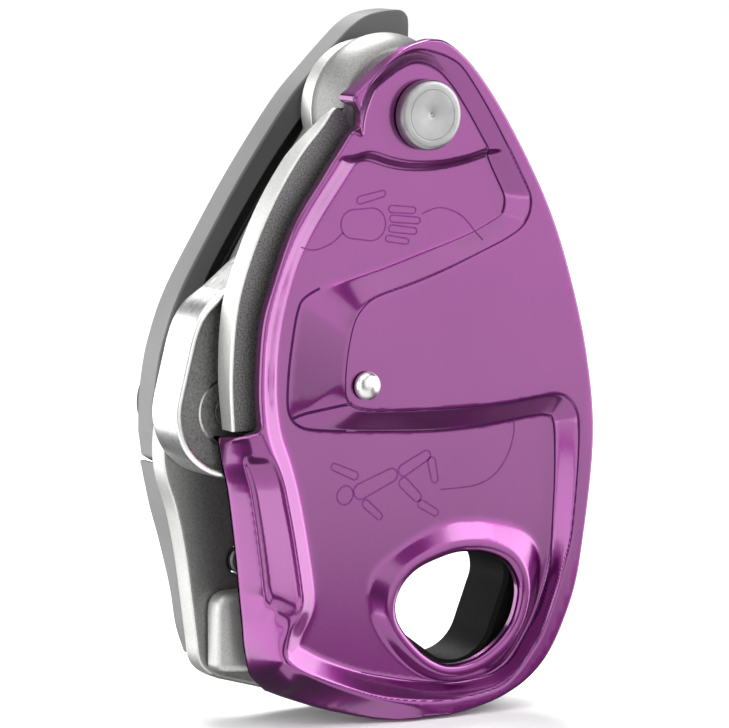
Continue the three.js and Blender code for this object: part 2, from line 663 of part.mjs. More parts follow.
function detentSpring() {
  return coil(DETENT, [1.0, 1.0], 0.15, [COVER_FRONT + 1.0, COVER_FRONT + 1.8], 1.7);
}

// -------------------------------------------------------------- the assembly

function assembly() {
  const group = new THREE.Group();
  group.name = "belay_device";
  const [upperScrew, rightScrew, lowerScrew] = SCREWS;
  group.add(
    piece("frame_plate", framePlate(), "cast"),
    piece("friction_anvil", frictionAnvil(), "steel"),
    piece("anvil_screw", anvilScrew(), "steel"),
    piece("hole_liner", holeLiner(), "blackPlastic"),
    piece("main_pivot_pin", mainPivotPin(), "steel"),
    piece("pivot_spacer", pivotSpacer(), "cast"),
    piece("pivot_washer", pivotWasher(), "steel"),
    piece("cam_axle", camAxle(), "blasted"),
    piece("axle_nut", axleNut(), "steel"),
    piece("cam_stop_pin", disc(CAM_STOP, 1.5, CAM_FRONT + 2, FRAME_BACK, 20), "steel"),
    piece("cam_spring", camSpring(), "spring"),
    piece("handle_spring", handleSpring(), "spring"),
    piece("rear_cover", rearCover(), "blackPlastic"),
    piece("rear_guard", rearGuard(), "greyPlastic"),
    piece("cover_screw_upper", coverScrew(upperScrew), "steel"),
    piece("cover_screw_right", coverScrew(rightScrew), "steel"),
    piece("cover_screw_lower", coverScrew(lowerScrew), "steel"),
    piece("selector_screw", selectorScrew(), "steel"),
    piece("detent_spring", detentSpring(), "spring"),
    piece("detent_ball", detentBall(), "steel"),
    piece("moving_side_plate", movingSidePlate(), "violet"),
    piece("wear_plate", wearPlate(), "blasted"),
    piece("wear_plate_rivet", wearPlateRivet(), "steel"),
    piece("cam", cam(), "steel"),
    piece("cam_bushing", camBushing(), "cast"),
    piece("handle_shell", handleShell(), "greyPlastic"),
    piece("handle_core", handleCore(), "blackPlastic"),
    piece("mode_selector_knob", modeSelectorKnob(), "blackPlastic"),
  );
  return group;
}

export default assembly();
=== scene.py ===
"""Belay device: fine surfaces, materials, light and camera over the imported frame.

Shapes are worked out in millimetres in the part's own frame and turned into metres
when a mesh is made. X right, Z up, the swinging side plate faces -Y.
"""
import math

import bpy
import numpy as np
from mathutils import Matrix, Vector
from mathutils.geometry import delaunay_2d_cdt

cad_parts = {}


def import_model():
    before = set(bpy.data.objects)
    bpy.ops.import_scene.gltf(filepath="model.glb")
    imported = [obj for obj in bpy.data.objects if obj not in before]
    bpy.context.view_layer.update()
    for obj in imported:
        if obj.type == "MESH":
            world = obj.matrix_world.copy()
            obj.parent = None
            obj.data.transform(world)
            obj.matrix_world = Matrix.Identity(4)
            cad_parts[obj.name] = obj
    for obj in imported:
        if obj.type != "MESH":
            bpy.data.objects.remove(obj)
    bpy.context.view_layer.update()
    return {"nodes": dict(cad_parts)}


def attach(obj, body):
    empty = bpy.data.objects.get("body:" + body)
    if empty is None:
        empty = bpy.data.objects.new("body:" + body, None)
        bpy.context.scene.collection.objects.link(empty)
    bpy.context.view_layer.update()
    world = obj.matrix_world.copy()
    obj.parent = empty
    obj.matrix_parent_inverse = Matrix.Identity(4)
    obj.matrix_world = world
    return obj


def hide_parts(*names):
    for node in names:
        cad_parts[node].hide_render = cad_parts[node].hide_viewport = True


MM = 0.001
GAP = 0.3

# depths (Y) shared with the frame
PLATE_FLOOR = -6.0
SHEET = 1.8
EDGE_BACK = -0.4
CHANNEL_FRONT = -3.9
CAM_FRONT, CAM_BACK = 0.2, 7.9
FRAME_FRONT, FRAME_BACK = 8.3, 12.3
HOLE_BACK = 7.5
COVER_FRONT, COVER_BACK = 12.6, 16.2
HANDLE_FRONT, HANDLE_BACK = 12.9, 18.5

# axes (X, Z)
PIVOT = (-6.7, 76.9)
AXLE = (-36.0, 32.2)
KNOB = (1.0, 42.0)
RIVET = (-18.2, 36.2)
ANVIL_SCREW = (-30.1, 8.0)
SCREWS = ((-11.0, 60.0), (13.0, 33.0), (-24.0, 22.0))
HOLE = ((-6.2, 1.8, 5.4), (5.6, 4.1, 4.7), (1.0, -1.8, 6.8))
LINER_WALL = 1.4
REAR_LIP = 4.1
BOSS_R = 12.3
BOSS_REAR_R = 10.7
HUB_R = 10.3
CAM_HUB_R = 10.15
PIN_BORE_R = 3.8
AXLE_BORE_R = 3.3
KNOB_BORE_R = 2.3
PIN_HEAD_R = 5.4

# heights of the stamped plate above its pocket floor
RIM_RISE = 3.0
SEAT_RISE = 1.4
BAND_RISE = 1.4
LIP_RISE = 1.6


# ------------------------------------------------------------------ outlines

def spline(points, steps=8):
    """Smooth curve through the points, ends included."""
    p = np.array(points, float)
    padded = np.vstack([p[:1], p, p[-1:]])
    curve = []
    for i in range(len(p) - 1):
        a, b, c, d = padded[i:i + 4]
        for t in np.arange(steps) / steps:
            curve.append(0.5 * (2 * b + (c - a) * t + (2 * a - 5 * b + 4 * c - d) * t ** 2
                                + (3 * b - a - 3 * c + d) * t ** 3))
    curve.append(p[-1])
    return np.array(curve)


def closed_spline(points, steps=8):
    """Smooth closed curve through the points."""
    p = list(points)
    whole = spline(p[-2:] + p + p[:2], steps)
    return whole[2 * steps:-2 * steps]


def arc(centre, radius, start, end, steps=24):
    """Arc about a centre, in degrees, counter-clockwise if end > start."""
    a = np.radians(np.linspace(start, end, steps + 1))
    return np.column_stack([centre[0] + radius * np.cos(a), centre[1] + radius * np.sin(a)])


def circle(centre, radius, steps=64):
    """Closed circle, its first point not repeated."""
    return arc(centre, radius, 0, 360, steps)[:-1]


def wrapped(circles, margin=0.0, steps=144):
    """Convex outline wrapped round circles (x, z, radius), grown by a margin."""
    points = []
    for angle in np.linspace(0, 2 * math.pi, steps, endpoint=False):
        c, s = math.cos(angle), math.sin(angle)
        x, z, r = max(circles, key=lambda k: k[0] * c + k[1] * s + k[2])
        points.append((x + (r + margin) * c, z + (r + margin) * s))
    return np.array(points)


def joined(*stretches, least=0.03):
    """One closed outline from stretches, without repeated points."""
    points = np.vstack([np.array(s, float).reshape(-1, 2) for s in stretches])
    keep = [i for i in range(len(points))
            if np.linalg.norm(points[i] - points[i - 1]) > least]
    return points[keep]


def resampled(line, step, closed=False):
    """Points spaced evenly along a line."""
    line = np.asarray(line, float)
    if closed:
        line = np.vstack([line, line[:1]])
    lengths = np.concatenate([[0], np.cumsum(np.linalg.norm(np.diff(line, axis=0), axis=1))])
    count = max(2, int(round(lengths[-1] / step)) + 1)
    at = np.linspace(0, lengths[-1], count)
    even = np.column_stack([np.interp(at, lengths, line[:, k]) for k in (0, 1)])
    return even[:-1] if closed else even


def softened(outline, radius, steps=4):
    """Closed outline whose sharp corners are cut by short curves."""
    points = []
    count = len(outline)
    for i in range(count):
        before, here, after = outline[i - 1], outline[i], outline[(i + 1) % count]
        a, b = before - here, after - here
        la, lb = np.linalg.norm(a), np.linalg.norm(b)
        turn = math.degrees(math.acos(np.clip(a @ b / (la * lb), -1, 1)))
        if turn > 150:
            points.append(here)
            continue
        reach = min(radius, 0.45 * la, 0.45 * lb)
        start, end = here + a / la * reach, here + b / lb * reach
        for t in np.linspace(0, 1, steps + 1):
            points.append((1 - t) ** 2 * start + 2 * t * (1 - t) * here + t ** 2 * end)
    return np.array(points)


def distance(points, line):
    """Distance from each point to an open line, and how far along it (index) the foot lies."""
    best = np.full(len(points), 1e9)
    along = np.zeros(len(points))
    for i in range(len(line) - 1):
        a, b = line[i], line[i + 1]
        ab = b - a
        t = np.clip(((points - a) @ ab) / max(ab @ ab, 1e-12), 0, 1)
        d = np.hypot(*(points - a - t[:, None] * ab).T)
        nearer = d < best
        best[nearer] = d[nearer]
        along[nearer] = i + t[nearer]
    return best, along


def inside(points, outline):
    """True where a point lies in a closed outline."""
    hits = np.zeros(len(points), bool)
    x, z = points.T
    for (ax, az), (bx, bz) in zip(outline, np.roll(outline, -1, axis=0)):
        crosses = (az > z) != (bz > z)
        with np.errstate(divide="ignore", invalid="ignore"):
            at = (bx - ax) * (z - az) / (bz - az) + ax
        hits ^= crosses & (x < at)
    return hits


def signed(points, outline):
    """Distance to a closed outline, positive inside."""
    d, _ = distance(points, np.vstack([outline, outline[:1]]))
    return np.where(inside(points, outline), d, -d)


def eased(t):
    """Smooth step from 0 to 1."""
    t = np.clip(t, 0, 1)
    return t * t * (3 - 2 * t)


# ------------------------------------------------------------- mesh building

def faces_of(loops):
    """Triangles that fill the first loop and leave the others open, as vertex numbers."""
    points, edges = [], []
    for loop in loops:
        first = len(points)
        points += [Vector((float(x), float(z))) for x, z in loop]
        edges += [(first + i, first + (i + 1) % len(loop)) for i in range(len(loop))]
    return triangulated(points, edges, loops)


def triangulated(points, edges, loops):
    """Delaunay triangles between the edges, inside the first loop and outside the others."""
    flat, _, tris, origin, _, _ = delaunay_2d_cdt(points, edges, [], 1, 1e-7)
    centres = np.array([[sum(flat[v][k] for v in tri) / 3 for k in (0, 1)] for tri in tris])
    keep = inside(centres, np.asarray(loops[0]))
    for hole in loops[1:]:
        keep &= ~inside(centres, np.asarray(hole))
    number = [o[0] if o else -1 for o in origin]
    return [tuple(number[v] for v in tri) for tri, good in zip(tris, keep)
            if good and all(number[v] >= 0 for v in tri)]


def inward(loop):
    """Unit-gap inward direction at each vertex of a closed loop, mitred at corners."""
    before, after = np.roll(loop, 1, axis=0), np.roll(loop, -1, axis=0)
    e0, e1 = loop - before, after - loop
    e0 /= np.linalg.norm(e0, axis=1)[:, None]
    e1 /= np.linalg.norm(e1, axis=1)[:, None]
    area = np.sum(loop[:, 0] * after[:, 1] - after[:, 0] * loop[:, 1])
    side = 1 if area > 0 else -1
    n0 = side * np.column_stack([-e0[:, 1], e0[:, 0]])
    n1 = side * np.column_stack([-e1[:, 1], e1[:, 0]])
    mitre = n0 + n1
    return mitre / np.maximum(np.sum(mitre * n0, axis=1), 0.5)[:, None]


def slab(outline, front, back, holes=(), edge=0.4, rounds=3, rear_edge=None):
    """Flat piece between two depths, its edges rounded over by `edge`."""
    rear_edge = edge if rear_edge is None else rear_edge
    loops = [np.asarray(loop, float) for loop in (outline, *holes)]
    turns = [1.0] + [-1.0] * len(holes)
    rings = []
    for k in range(rounds + 1):
        a = math.pi / 2 * k / rounds
        rings.append((edge * (1 - math.sin(a)), front + edge * (1 - math.cos(a))))
    for k in range(rounds, -1, -1):
        a = math.pi / 2 * k / rounds
        rings.append((rear_edge * (1 - math.sin(a)), back - rear_edge * (1 - math.cos(a))))
    vertices, faces = [], []
    total = sum(len(loop) for loop in loops)
    for inset, depth in rings:
        for loop, turn in zip(loops, turns):
            moved = loop + inward(loop) * inset * turn
            vertices += [(x, depth, z) for x, z in moved]
    start = 0
    for loop in loops:
        count = len(loop)
        for r in range(len(rings) - 1):
            for i in range(count):
                j = (i + 1) % count
                a, b = r * total + start + i, r * total + start + j
                faces.append((a, b, b + total, a + total))
        start += count
    front_loops = [loop + inward(loop) * edge * turn for loop, turn in zip(loops, turns)]
    rear_loops = [loop + inward(loop) * rear_edge * turn for loop, turn in zip(loops, turns)]
    last = (len(rings) - 1) * total
    faces += faces_of(front_loops)
    faces += [tuple(v + last for v in tri) for tri in faces_of(rear_loops)]
    return vertices, faces


def lathe(centre, profile, sides=72):
    """Piece turned about a Y axis from (radius, depth) pairs."""
    vertices, faces = [], []
    for radius, depth in profile:
        for x, z in circle(centre, max(radius, 1e-4), sides):
            vertices.append((x, depth, z))
    for r in range(len(profile) - 1):
        for i in range(sides):
            j = (i + 1) % sides
            faces.append((r * sides + i, r * sides + j, (r + 1) * sides + j, (r + 1) * sides + i))
    faces.append(tuple(range(sides)))
    faces.append(tuple(range((len(profile) - 1) * sides, len(profile) * sides)))
    return vertices, faces


def tube_wall(outer, inner):
    """Ring between two stacks of equal loops, given as lists of (loop, depth)."""
    rows = list(outer) + list(inner)[::-1]
    vertices, faces = [], []
    count = len(rows[0][0])
    for loop, depth in rows:
        vertices += [(x, depth, z) for x, z in loop]
    for r in range(len(rows)):
        s = (r + 1) % len(rows)
        for i in range(count):
            j = (i + 1) % count
            faces.append((r * count + i, r * count + j, s * count + j, s * count + i))
    return vertices, faces


def loft(sections):
    """Skin through closed cross-sections with equal point counts, ends closed."""
    vertices = [tuple(p) for section in sections for p in section]
    count = len(sections[0])
    faces = []
    for s in range(len(sections) - 1):
        for i in range(count):
            j = (i + 1) % count
            a, b = s * count + i, s * count + j
            faces.append((a, b, b + count, a + count))
    faces.append(tuple(range(count)))
    faces.append(tuple(range((len(sections) - 1) * count, len(sections) * count)))
    return vertices, faces


def together(*shapes):
    """Several shapes as one."""
    vertices, faces = [], []
    for some_vertices, some_faces in shapes:
        first = len(vertices)
        vertices += list(some_vertices)
        faces += [tuple(v + first for v in face) for face in some_faces]
    return vertices, faces


def volume(mesh):
    """Volume inside a closed mesh, negative when its faces look inward."""
    return sum(face.center.dot(face.normal) * face.area for face in mesh.polygons) / 3


def piece(name, shape, material, body, nodes, sharp=38):
    """Mesh object from a shape in millimetres, riding on a body in place of CAD nodes."""
    vertices, faces = shape
    mesh = bpy.data.meshes.new(name)
    mesh.from_pydata([(x * MM, y * MM, z * MM) for x, y, z in vertices], [], faces)
    mesh.validate()
    obj = bpy.data.objects.new(name, mesh)
    bpy.context.scene.collection.objects.link(obj)
    bpy.context.view_layer.objects.active = obj
    obj.select_set(True)
    bpy.ops.object.mode_set(mode="EDIT")
    bpy.ops.mesh.select_all(action="SELECT")
    bpy.ops.mesh.normals_make_consistent(inside=False)
    bpy.ops.object.mode_set(mode="OBJECT")
    obj.select_set(False)
    if volume(mesh) < 0:
        mesh.flip_normals()
    mesh.shade_smooth()
    mesh.set_sharp_from_angle(angle=math.radians(sharp))
    weighted = obj.modifiers.new("weighted", "WEIGHTED_NORMAL")
    weighted.keep_sharp = True
    return dressed(obj, material, body, nodes)


def brighten_left(obj, material):
    """A second, paler copy of the material on the faces that look to the left: painted light,
    standing in for the brighter light those faces catch.
    """
    obj.data.materials.append(material)
    for polygon in obj.data.polygons:
        if polygon.normal.x < -0.35:
            polygon.material_index = 1


def dressed(obj, material, body, nodes):
    """Material, body, slot and replaced CAD nodes of a new object."""
    obj.data.materials.append(material)
    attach(obj, body)
    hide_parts(*nodes)
    return obj


# ----------------------------------------------------------------- materials

def new_material(name, **values):
    """Principled material with constant socket values."""
    material = bpy.data.materials.new(name)
    material.use_nodes = True
    shader = material.node_tree.nodes["Principled BSDF"]
    for socket, value in values.items():
        shader.inputs[socket.replace("_", " ")].default_value = value
    return material, shader


def node(material, kind, **settings):
    """New shader node, with inputs or settings by name."""
    made = material.node_tree.nodes.new(kind)
    for key, value in settings.items():
        if key in made.inputs:
            made.inputs[key].default_value = value
        else:
            setattr(made, key, value)
    return made


def noise(material, scale, detail=4.0, stretch=(1, 1, 1)):
    """Noise value over the object's own coordinates, scale per metre."""
    links = material.node_tree.links
    place = node(material, "ShaderNodeTexCoord")
    mapping = node(material, "ShaderNodeMapping")
    mapping.inputs["Scale"].default_value = stretch
    texture = node(material, "ShaderNodeTexNoise", Scale=scale, Detail=detail)
    links.new(place.outputs["Object"], mapping.inputs["Vector"])
    links.new(mapping.outputs["Vector"], texture.inputs["Vector"])
    return texture.outputs["Fac"]


def ramp(material, value, low, high, at=(0.3, 0.7)):
    """Colour or grey between two ends as a value goes across a span."""
    made = node(material, "ShaderNodeValToRGB")
    stops = made.color_ramp.elements
    for stop, position, colour in zip(stops, at, (low, high)):
        stop.position = position
        stop.color = (*colour, 1) if hasattr(colour, "__len__") else (colour,) * 3 + (1,)
    material.node_tree.links.new(value, made.inputs["Fac"])
    return made.outputs["Color"]


def bump(material, shader, height, strength, reach, under=None):
    """Bump from a height value; `under` is an earlier bump it adds to."""
    made = node(material, "ShaderNodeBump", Strength=strength, Distance=reach)
    material.node_tree.links.new(height, made.inputs["Height"])
    if under is not None:
        material.node_tree.links.new(under, made.inputs["Normal"])
    material.node_tree.links.new(made.outputs["Normal"], shader.inputs["Normal"])
    return made.outputs["Normal"]


def anodised():
    """Satin violet anodising over aluminium."""
    material, shader = new_material(
        "anodised_violet", Metallic=1.0, Coat_Weight=1.0, Coat_IOR=1.7, Coat_Roughness=0.13)
    links = material.node_tree.links
    cloud = noise(material, 60, 2)
    links.new(ramp(material, cloud, (0.195, 0.012, 0.172), (0.210, 0.016, 0.184)),
              shader.inputs["Base Color"])
    fine = noise(material, 5200, 3)
    links.new(ramp(material, fine, 0.27, 0.31), shader.inputs["Roughness"])
    bump(material, shader, fine, 0.04, 0.01 * MM)
    return material


def engraving():
    """Laser-marked line in the anodising."""
    material, shader = new_material("engraved_violet", Metallic=1.0, Roughness=0.45)
    shade = noise(material, 900, 2)
    material.node_tree.links.new(ramp(material, shade, (0.15, 0.03, 0.15), (0.19, 0.04, 0.19)),
                                 shader.inputs["Base Color"])
    return material


def shaded_violet():
    """Dark violet for the ribbons that stand in for the shadow in the plate's tight folds."""
    material, shader = new_material("painted_fold_shadow_violet", Metallic=1.0, Roughness=0.5)
    shade = noise(material, 1200, 3)
    material.node_tree.links.new(ramp(material, shade, (0.05, 0.012, 0.06), (0.08, 0.018, 0.09)),
                                 shader.inputs["Base Color"])
    return material


def blasted(name, low, high, grain_size, strength, roughness=(0.48, 0.6)):
    """Bead-blasted or tumbled metal with an even grain."""
    material, shader = new_material(name, Metallic=0.9)
    links = material.node_tree.links
    grain = noise(material, grain_size, 5)
    links.new(ramp(material, grain, (low, low, low * 0.98), (high, high, high * 0.97),
                   at=(0.32, 0.68)), shader.inputs["Base Color"])
    links.new(ramp(material, grain, *roughness), shader.inputs["Roughness"])
    bump(material, shader, grain, strength, 0.05 * MM)
    return material


def polished_steel():
    """Bright steel, its faint streaks running round the rim."""
    material, shader = new_material("polished_steel", Metallic=1.0)
    links = material.node_tree.links
    streaks = noise(material, 900, 4, stretch=(1, 6, 1))
    links.new(ramp(material, streaks, (0.80, 0.80, 0.79), (0.90, 0.90, 0.89)),
              shader.inputs["Base Color"])
    links.new(ramp(material, streaks, 0.26, 0.36), shader.inputs["Roughness"])
    bump(material, shader, noise(material, 1800, 3), 0.10, 0.02 * MM)
    return material


def turned_steel(name, centre):
    """Machined face with fine rings about a centre (X, Z)."""
    material, shader = new_material(name, Metallic=1.0)
    links = material.node_tree.links
    place = node(material, "ShaderNodeTexCoord")
    shift = node(material, "ShaderNodeMapping")
    shift.inputs["Location"].default_value = (-centre[0] * MM, 0, -centre[1] * MM)
    rings = node(material, "ShaderNodeTexWave", Scale=900.0, Distortion=2.5, Detail=4.0,
                 wave_type="RINGS", rings_direction="Y")
    links.new(place.outputs["Object"], shift.inputs["Vector"])
    links.new(shift.outputs["Vector"], rings.inputs["Vector"])
    cloud = noise(material, 500, 5)
    links.new(ramp(material, cloud, (0.31, 0.305, 0.305), (0.37, 0.365, 0.365)),
              shader.inputs["Base Color"])
    links.new(ramp(material, cloud, 0.36, 0.46), shader.inputs["Roughness"])
    bump(material, shader, rings.outputs["Fac"], 0.05, 0.01 * MM)
    return material


def plastic(name, low, high, roughness=(0.42, 0.52), grain_size=1900, gloss=0.3):
    """Moulded plastic with a fine texture."""
    material, shader = new_material(name, Metallic=0.0)
    links = material.node_tree.links
    grain = noise(material, grain_size, 3)
    shader.inputs["Specular IOR Level"].default_value = gloss
    links.new(ramp(material, noise(material, 50, 2), low, high), shader.inputs["Base Color"])
    links.new(ramp(material, grain, *roughness), shader.inputs["Roughness"])
    bump(material, shader, grain, 0.22, 0.04 * MM)
    return material


def plain_metal(name, low, high, roughness=(0.25, 0.4)):
    """Metal between two colours with a fine, faint grain."""
    material, shader = new_material(name, Metallic=1.0)
    links = material.node_tree.links
    grain = noise(material, 1200, 4)
    links.new(ramp(material, grain, low, high), shader.inputs["Base Color"])
    links.new(ramp(material, grain, *roughness), shader.inputs["Roughness"])
    bump(material, shader, grain, 0.12, 0.02 * MM)
    return material


# ----------------------------------------------------- the stamped side plate

# outer edge from the top, down the right side and along the bottom
PLATE_RIGHT = [
    (-6.8, 88.5), (-3.3, 87.8), (1.7, 83.5), (7.8, 75.1), (14.6, 62.9), (19.0, 51.3),
    (22.3, 38.1), (23.5, 25.0), (21.6, 8.9), (19.4, -0.3), (14.5, -9.2), (7.2, -14.1),
    (-3.6, -16.4), (-13.2, -16.3), (-22.0, -14.4), (-28.4, -12.2),
]
SKIRT_REAR = [
    (-31.2, -11.0), (-33.6, -8.4), (-34.6, -4.4), (-35.0, -0.4), (-35.4, 3.3), (-36.2, 11.1),
    (-37.4, 20.1), (-38.4, 24.5), (-39.0, 28.0),
]
SKIRT_TOP = [(-39.0, 28.6), (-36.0, 29.9), (-35.5, 30.4)]
NOTCH = [
    (-35.4, 30.7), (-35.7, 36.8), (-35.0, 46.0), (-32.9, 52.8), (-29.5, 60.9),
    (-24.6, 67.9), (-19.8, 74.4), (-18.7, 76.0),
]
TOP_LEFT = [(-18.9, 77.6), (-20.3, 79.6), (-20.2, 80.2)]
TOP_FOLD = [(-20.0, 80.4), (-15.7, 83.8), (-11.3, 87.2), (-6.8, 88.5)]

# edge of the raised rim and island, from the top-left tail round to the lower left
RIM_EDGE = [
    (-19.2, 74.9), (-19.0, 77.6), (-18.4, 80.2), (-16.6, 82.9), (-14.2, 84.9), (-11.2, 86.5),
    (-8.6, 86.9), (-6.0, 86.4), (-3.6, 85.6), (-1.2, 84.2), (1.3, 81.1), (4.2, 76.8), (7.3, 71.6),
    (9.9, 66.9), (11.5, 63.8), (11.6, 61.9), (11.0, 60.2), (9.6, 58.7), (7.0, 57.3), (3.5, 55.9),
    (-3.9, 53.1), (-10.0, 51.2), (-16.4, 49.5), (-19.0, 47.6), (-20.3, 45.4), (-21.2, 41.8),
    (-21.7, 37.7), (-21.5, 34.3), (-19.9, 32.8), (-16.4, 32.1), (-10.3, 31.8), (-1.6, 31.6),
    (7.3, 31.8), (15.8, 32.5), (18.7, 31.6), (20.4, 29.0), (20.7, 25.1), (20.3, 18.5),
    (19.3, 10.0), (17.7, 5.0), (16.3, 1.2), (14.0, -4.4), (12.3, -7.0), (8.8, -10.9),
    (5.7, -12.7), (0.0, -13.6), (-5.8, -13.7), (-14.2, -12.5), (-20.6, -10.5), (-26.8, -8.0),
    (-30.4, -6.1), (-34.0, -4.6), (-39.0, -3.0),
]
# where the walls below that edge meet the floor
RIM_FOOT = [
    (-17.7, 74.0), (-17.6, 76.2), (-16.8, 78.6), (-15.6, 81.0), (-13.6, 82.6), (-11.3, 84.0),
    (-8.9, 84.9), (-6.7, 84.7), (-4.4, 83.6), (-2.8, 82.2), (-1.1, 80.2), (1.4, 76.6), (3.6, 73.1),
    (4.9, 71.0), (6.1, 68.4), (7.2, 66.3), (8.3, 64.1), (8.4, 62.4), (7.8, 60.9), (6.2, 60.0),
    (2.9, 58.5), (-0.9, 57.3), (-6.7, 55.7), (-13.9, 53.6), (-20.1, 52.2), (-23.2, 51.6),
    (-27.1, 49.9), (-28.4, 47.9), (-29.4, 43.1), (-30.1, 37.6), (-30.1, 32.8), (-28.4, 30.4),
    (-24.5, 29.4), (-14.6, 28.6), (-4.1, 28.0), (4.6, 28.2), (13.6, 29.1), (16.4, 29.1),
    (17.7, 27.9), (18.0, 21.1), (17.7, 13.6), (17.1, 5.8), (15.2, -0.6), (12.8, -4.9),
    (9.9, -8.8), (7.3, -10.6), (4.4, -11.3), (-1.3, -11.6), (-7.0, -10.9), (-12.7, -9.7),
    (-18.3, -8.2), (-24.4, -5.6), (-28.4, -3.4),
    (-33.0, -1.6), (-39.0, 0.0),
]
SEAT_CREASE = [
    (-24.0, 70.2), (-19.5, 70.4), (-16.3, 70.9), (-12.6, 69.8), (-8.8, 69.1), (-3.8, 69.0),
    (1.3, 69.7), (4.9, 70.6), (9.0, 71.4),
]
# top of the soft left band, from the lower left corner up to the rim's tail
BAND_TOP = [
    (-31.2, -4.6), (-30.6, -1.4), (-28.9, 1.6), (-28.3, 4.2), (-29.6, 12.6), (-30.9, 19.0),
    (-32.3, 24.0), (-34.2, 29.5), (-34.9, 36.8), (-34.2, 45.4), (-31.6, 54.4), (-28.0, 61.4),
    (-22.3, 69.1), (-18.2, 74.4),
]
BAND_WIDTH = 2.7
# where the lip's slope round the carabiner hole meets the floor
LIP_FOOT = [
    (-16.1, 3.4), (-15.5, 5.9), (-13.8, 7.9), (-10.5, 10.0), (-5.7, 12.3), (-2.0, 13.4),
    (1.4, 13.7), (5.7, 13.4), (10.1, 12.3), (13.0, 10.8), (14.8, 8.6), (15.4, 5.0),
    (14.4, -0.5), (12.0, -5.4), (9.0, -9.2), (5.0, -11.2), (0.1, -11.7), (-3.6, -11.1),
    (-7.6, -9.3), (-11.3, -6.3), (-14.1, -2.8), (-15.6, 0.2),
]
LIP_WIDTH = 1.8
LIP_ROLL = 1.0
# rounded-triangle hole for the carabiner
HOLE_EDGE = [
    (0.5, 8.8), (-2.6, 8.4), (-7.1, 7.0), (-9.7, 5.2), (-11.1, 3.2), (-11.6, 1.2), (-11.2, -1.0),
    (-9.6, -3.4), (-6.6, -6.4), (-3.6, -8.2), (-0.8, -8.7), (2.6, -8.2), (5.4, -6.9), (8.0, -4.9),
    (9.8, -2.4), (10.7, 0.6), (10.7, 2.8), (10.0, 4.8), (8.5, 6.6), (6.0, 7.9), (3.2, 8.6),
]
# the fold along the lower left: point, and how deep the outer edge beyond it lies
FOLD = [
    (-35.6, 29.8, -0.4), (-33.1, 25.2, -0.4), (-31.7, 22.0, -0.4), (-30.9, 18.5, -0.4),
    (-29.7, 12.6, -0.4), (-28.5, 5.1, -0.4), (-28.5, 2.9, -0.4), (-29.4, 1.1, -0.4),
    (-30.7, -0.4, -0.4), (-31.2, -2.5, -0.4), (-31.3, -4.4, -0.4), (-30.6, -6.0, -0.6),
    (-26.8, -8.3, -2.6), (-20.6, -10.9, -5.2), (-14.2, -13.0, -7.2), (-8.0, -14.6, -8.2),
    (-2.0, -16.6, -8.8),
]
# across the skirt: share of the way from fold to rear edge, share of the depth reached
PANEL_PROFILE = [
    (0.0, 0.0), (0.04, 0.09), (0.54, 0.47), (0.60, 0.46), (0.68, 0.44), (0.73, 0.50),
    (1.0, 1.0), (1.3, 1.56),
]
PLAIN_PROFILE = [(0.0, 0.0), (0.12, 0.03), (0.45, 0.22), (0.70, 0.48), (1.0, 1.0), (1.3, 1.52)]
# height of the ledge line below the panel, its slope, and where the panel starts above
LEDGE_X = -31.3
LEDGE_TILT = 0.5
LEDGE_LOW, LEDGE_HIGH = 1.5, 4.7
PANEL_TOP = (24.4, 26.6)
# below the ledge: height, and how far the face sinks there
LEDGES = [(-5.6, 0.0), (-4.2, -0.15), (-1.0, 0.55), (1.5, 0.0)]
SEAT_SLOPE = 1.3                # width of the step up to the seat round the pin
PANEL_CORNER = (-29.5, 2.0)     # left of and below this point the folds are softened
STRAIGHT_FROM = -31.0           # to the right of this X the skirt turns into a plain slope
MOST_SHARE = 1.3                # how far past the rear edge the skirt's profile goes on
GRID = 0.22                     # spacing of the relief's points


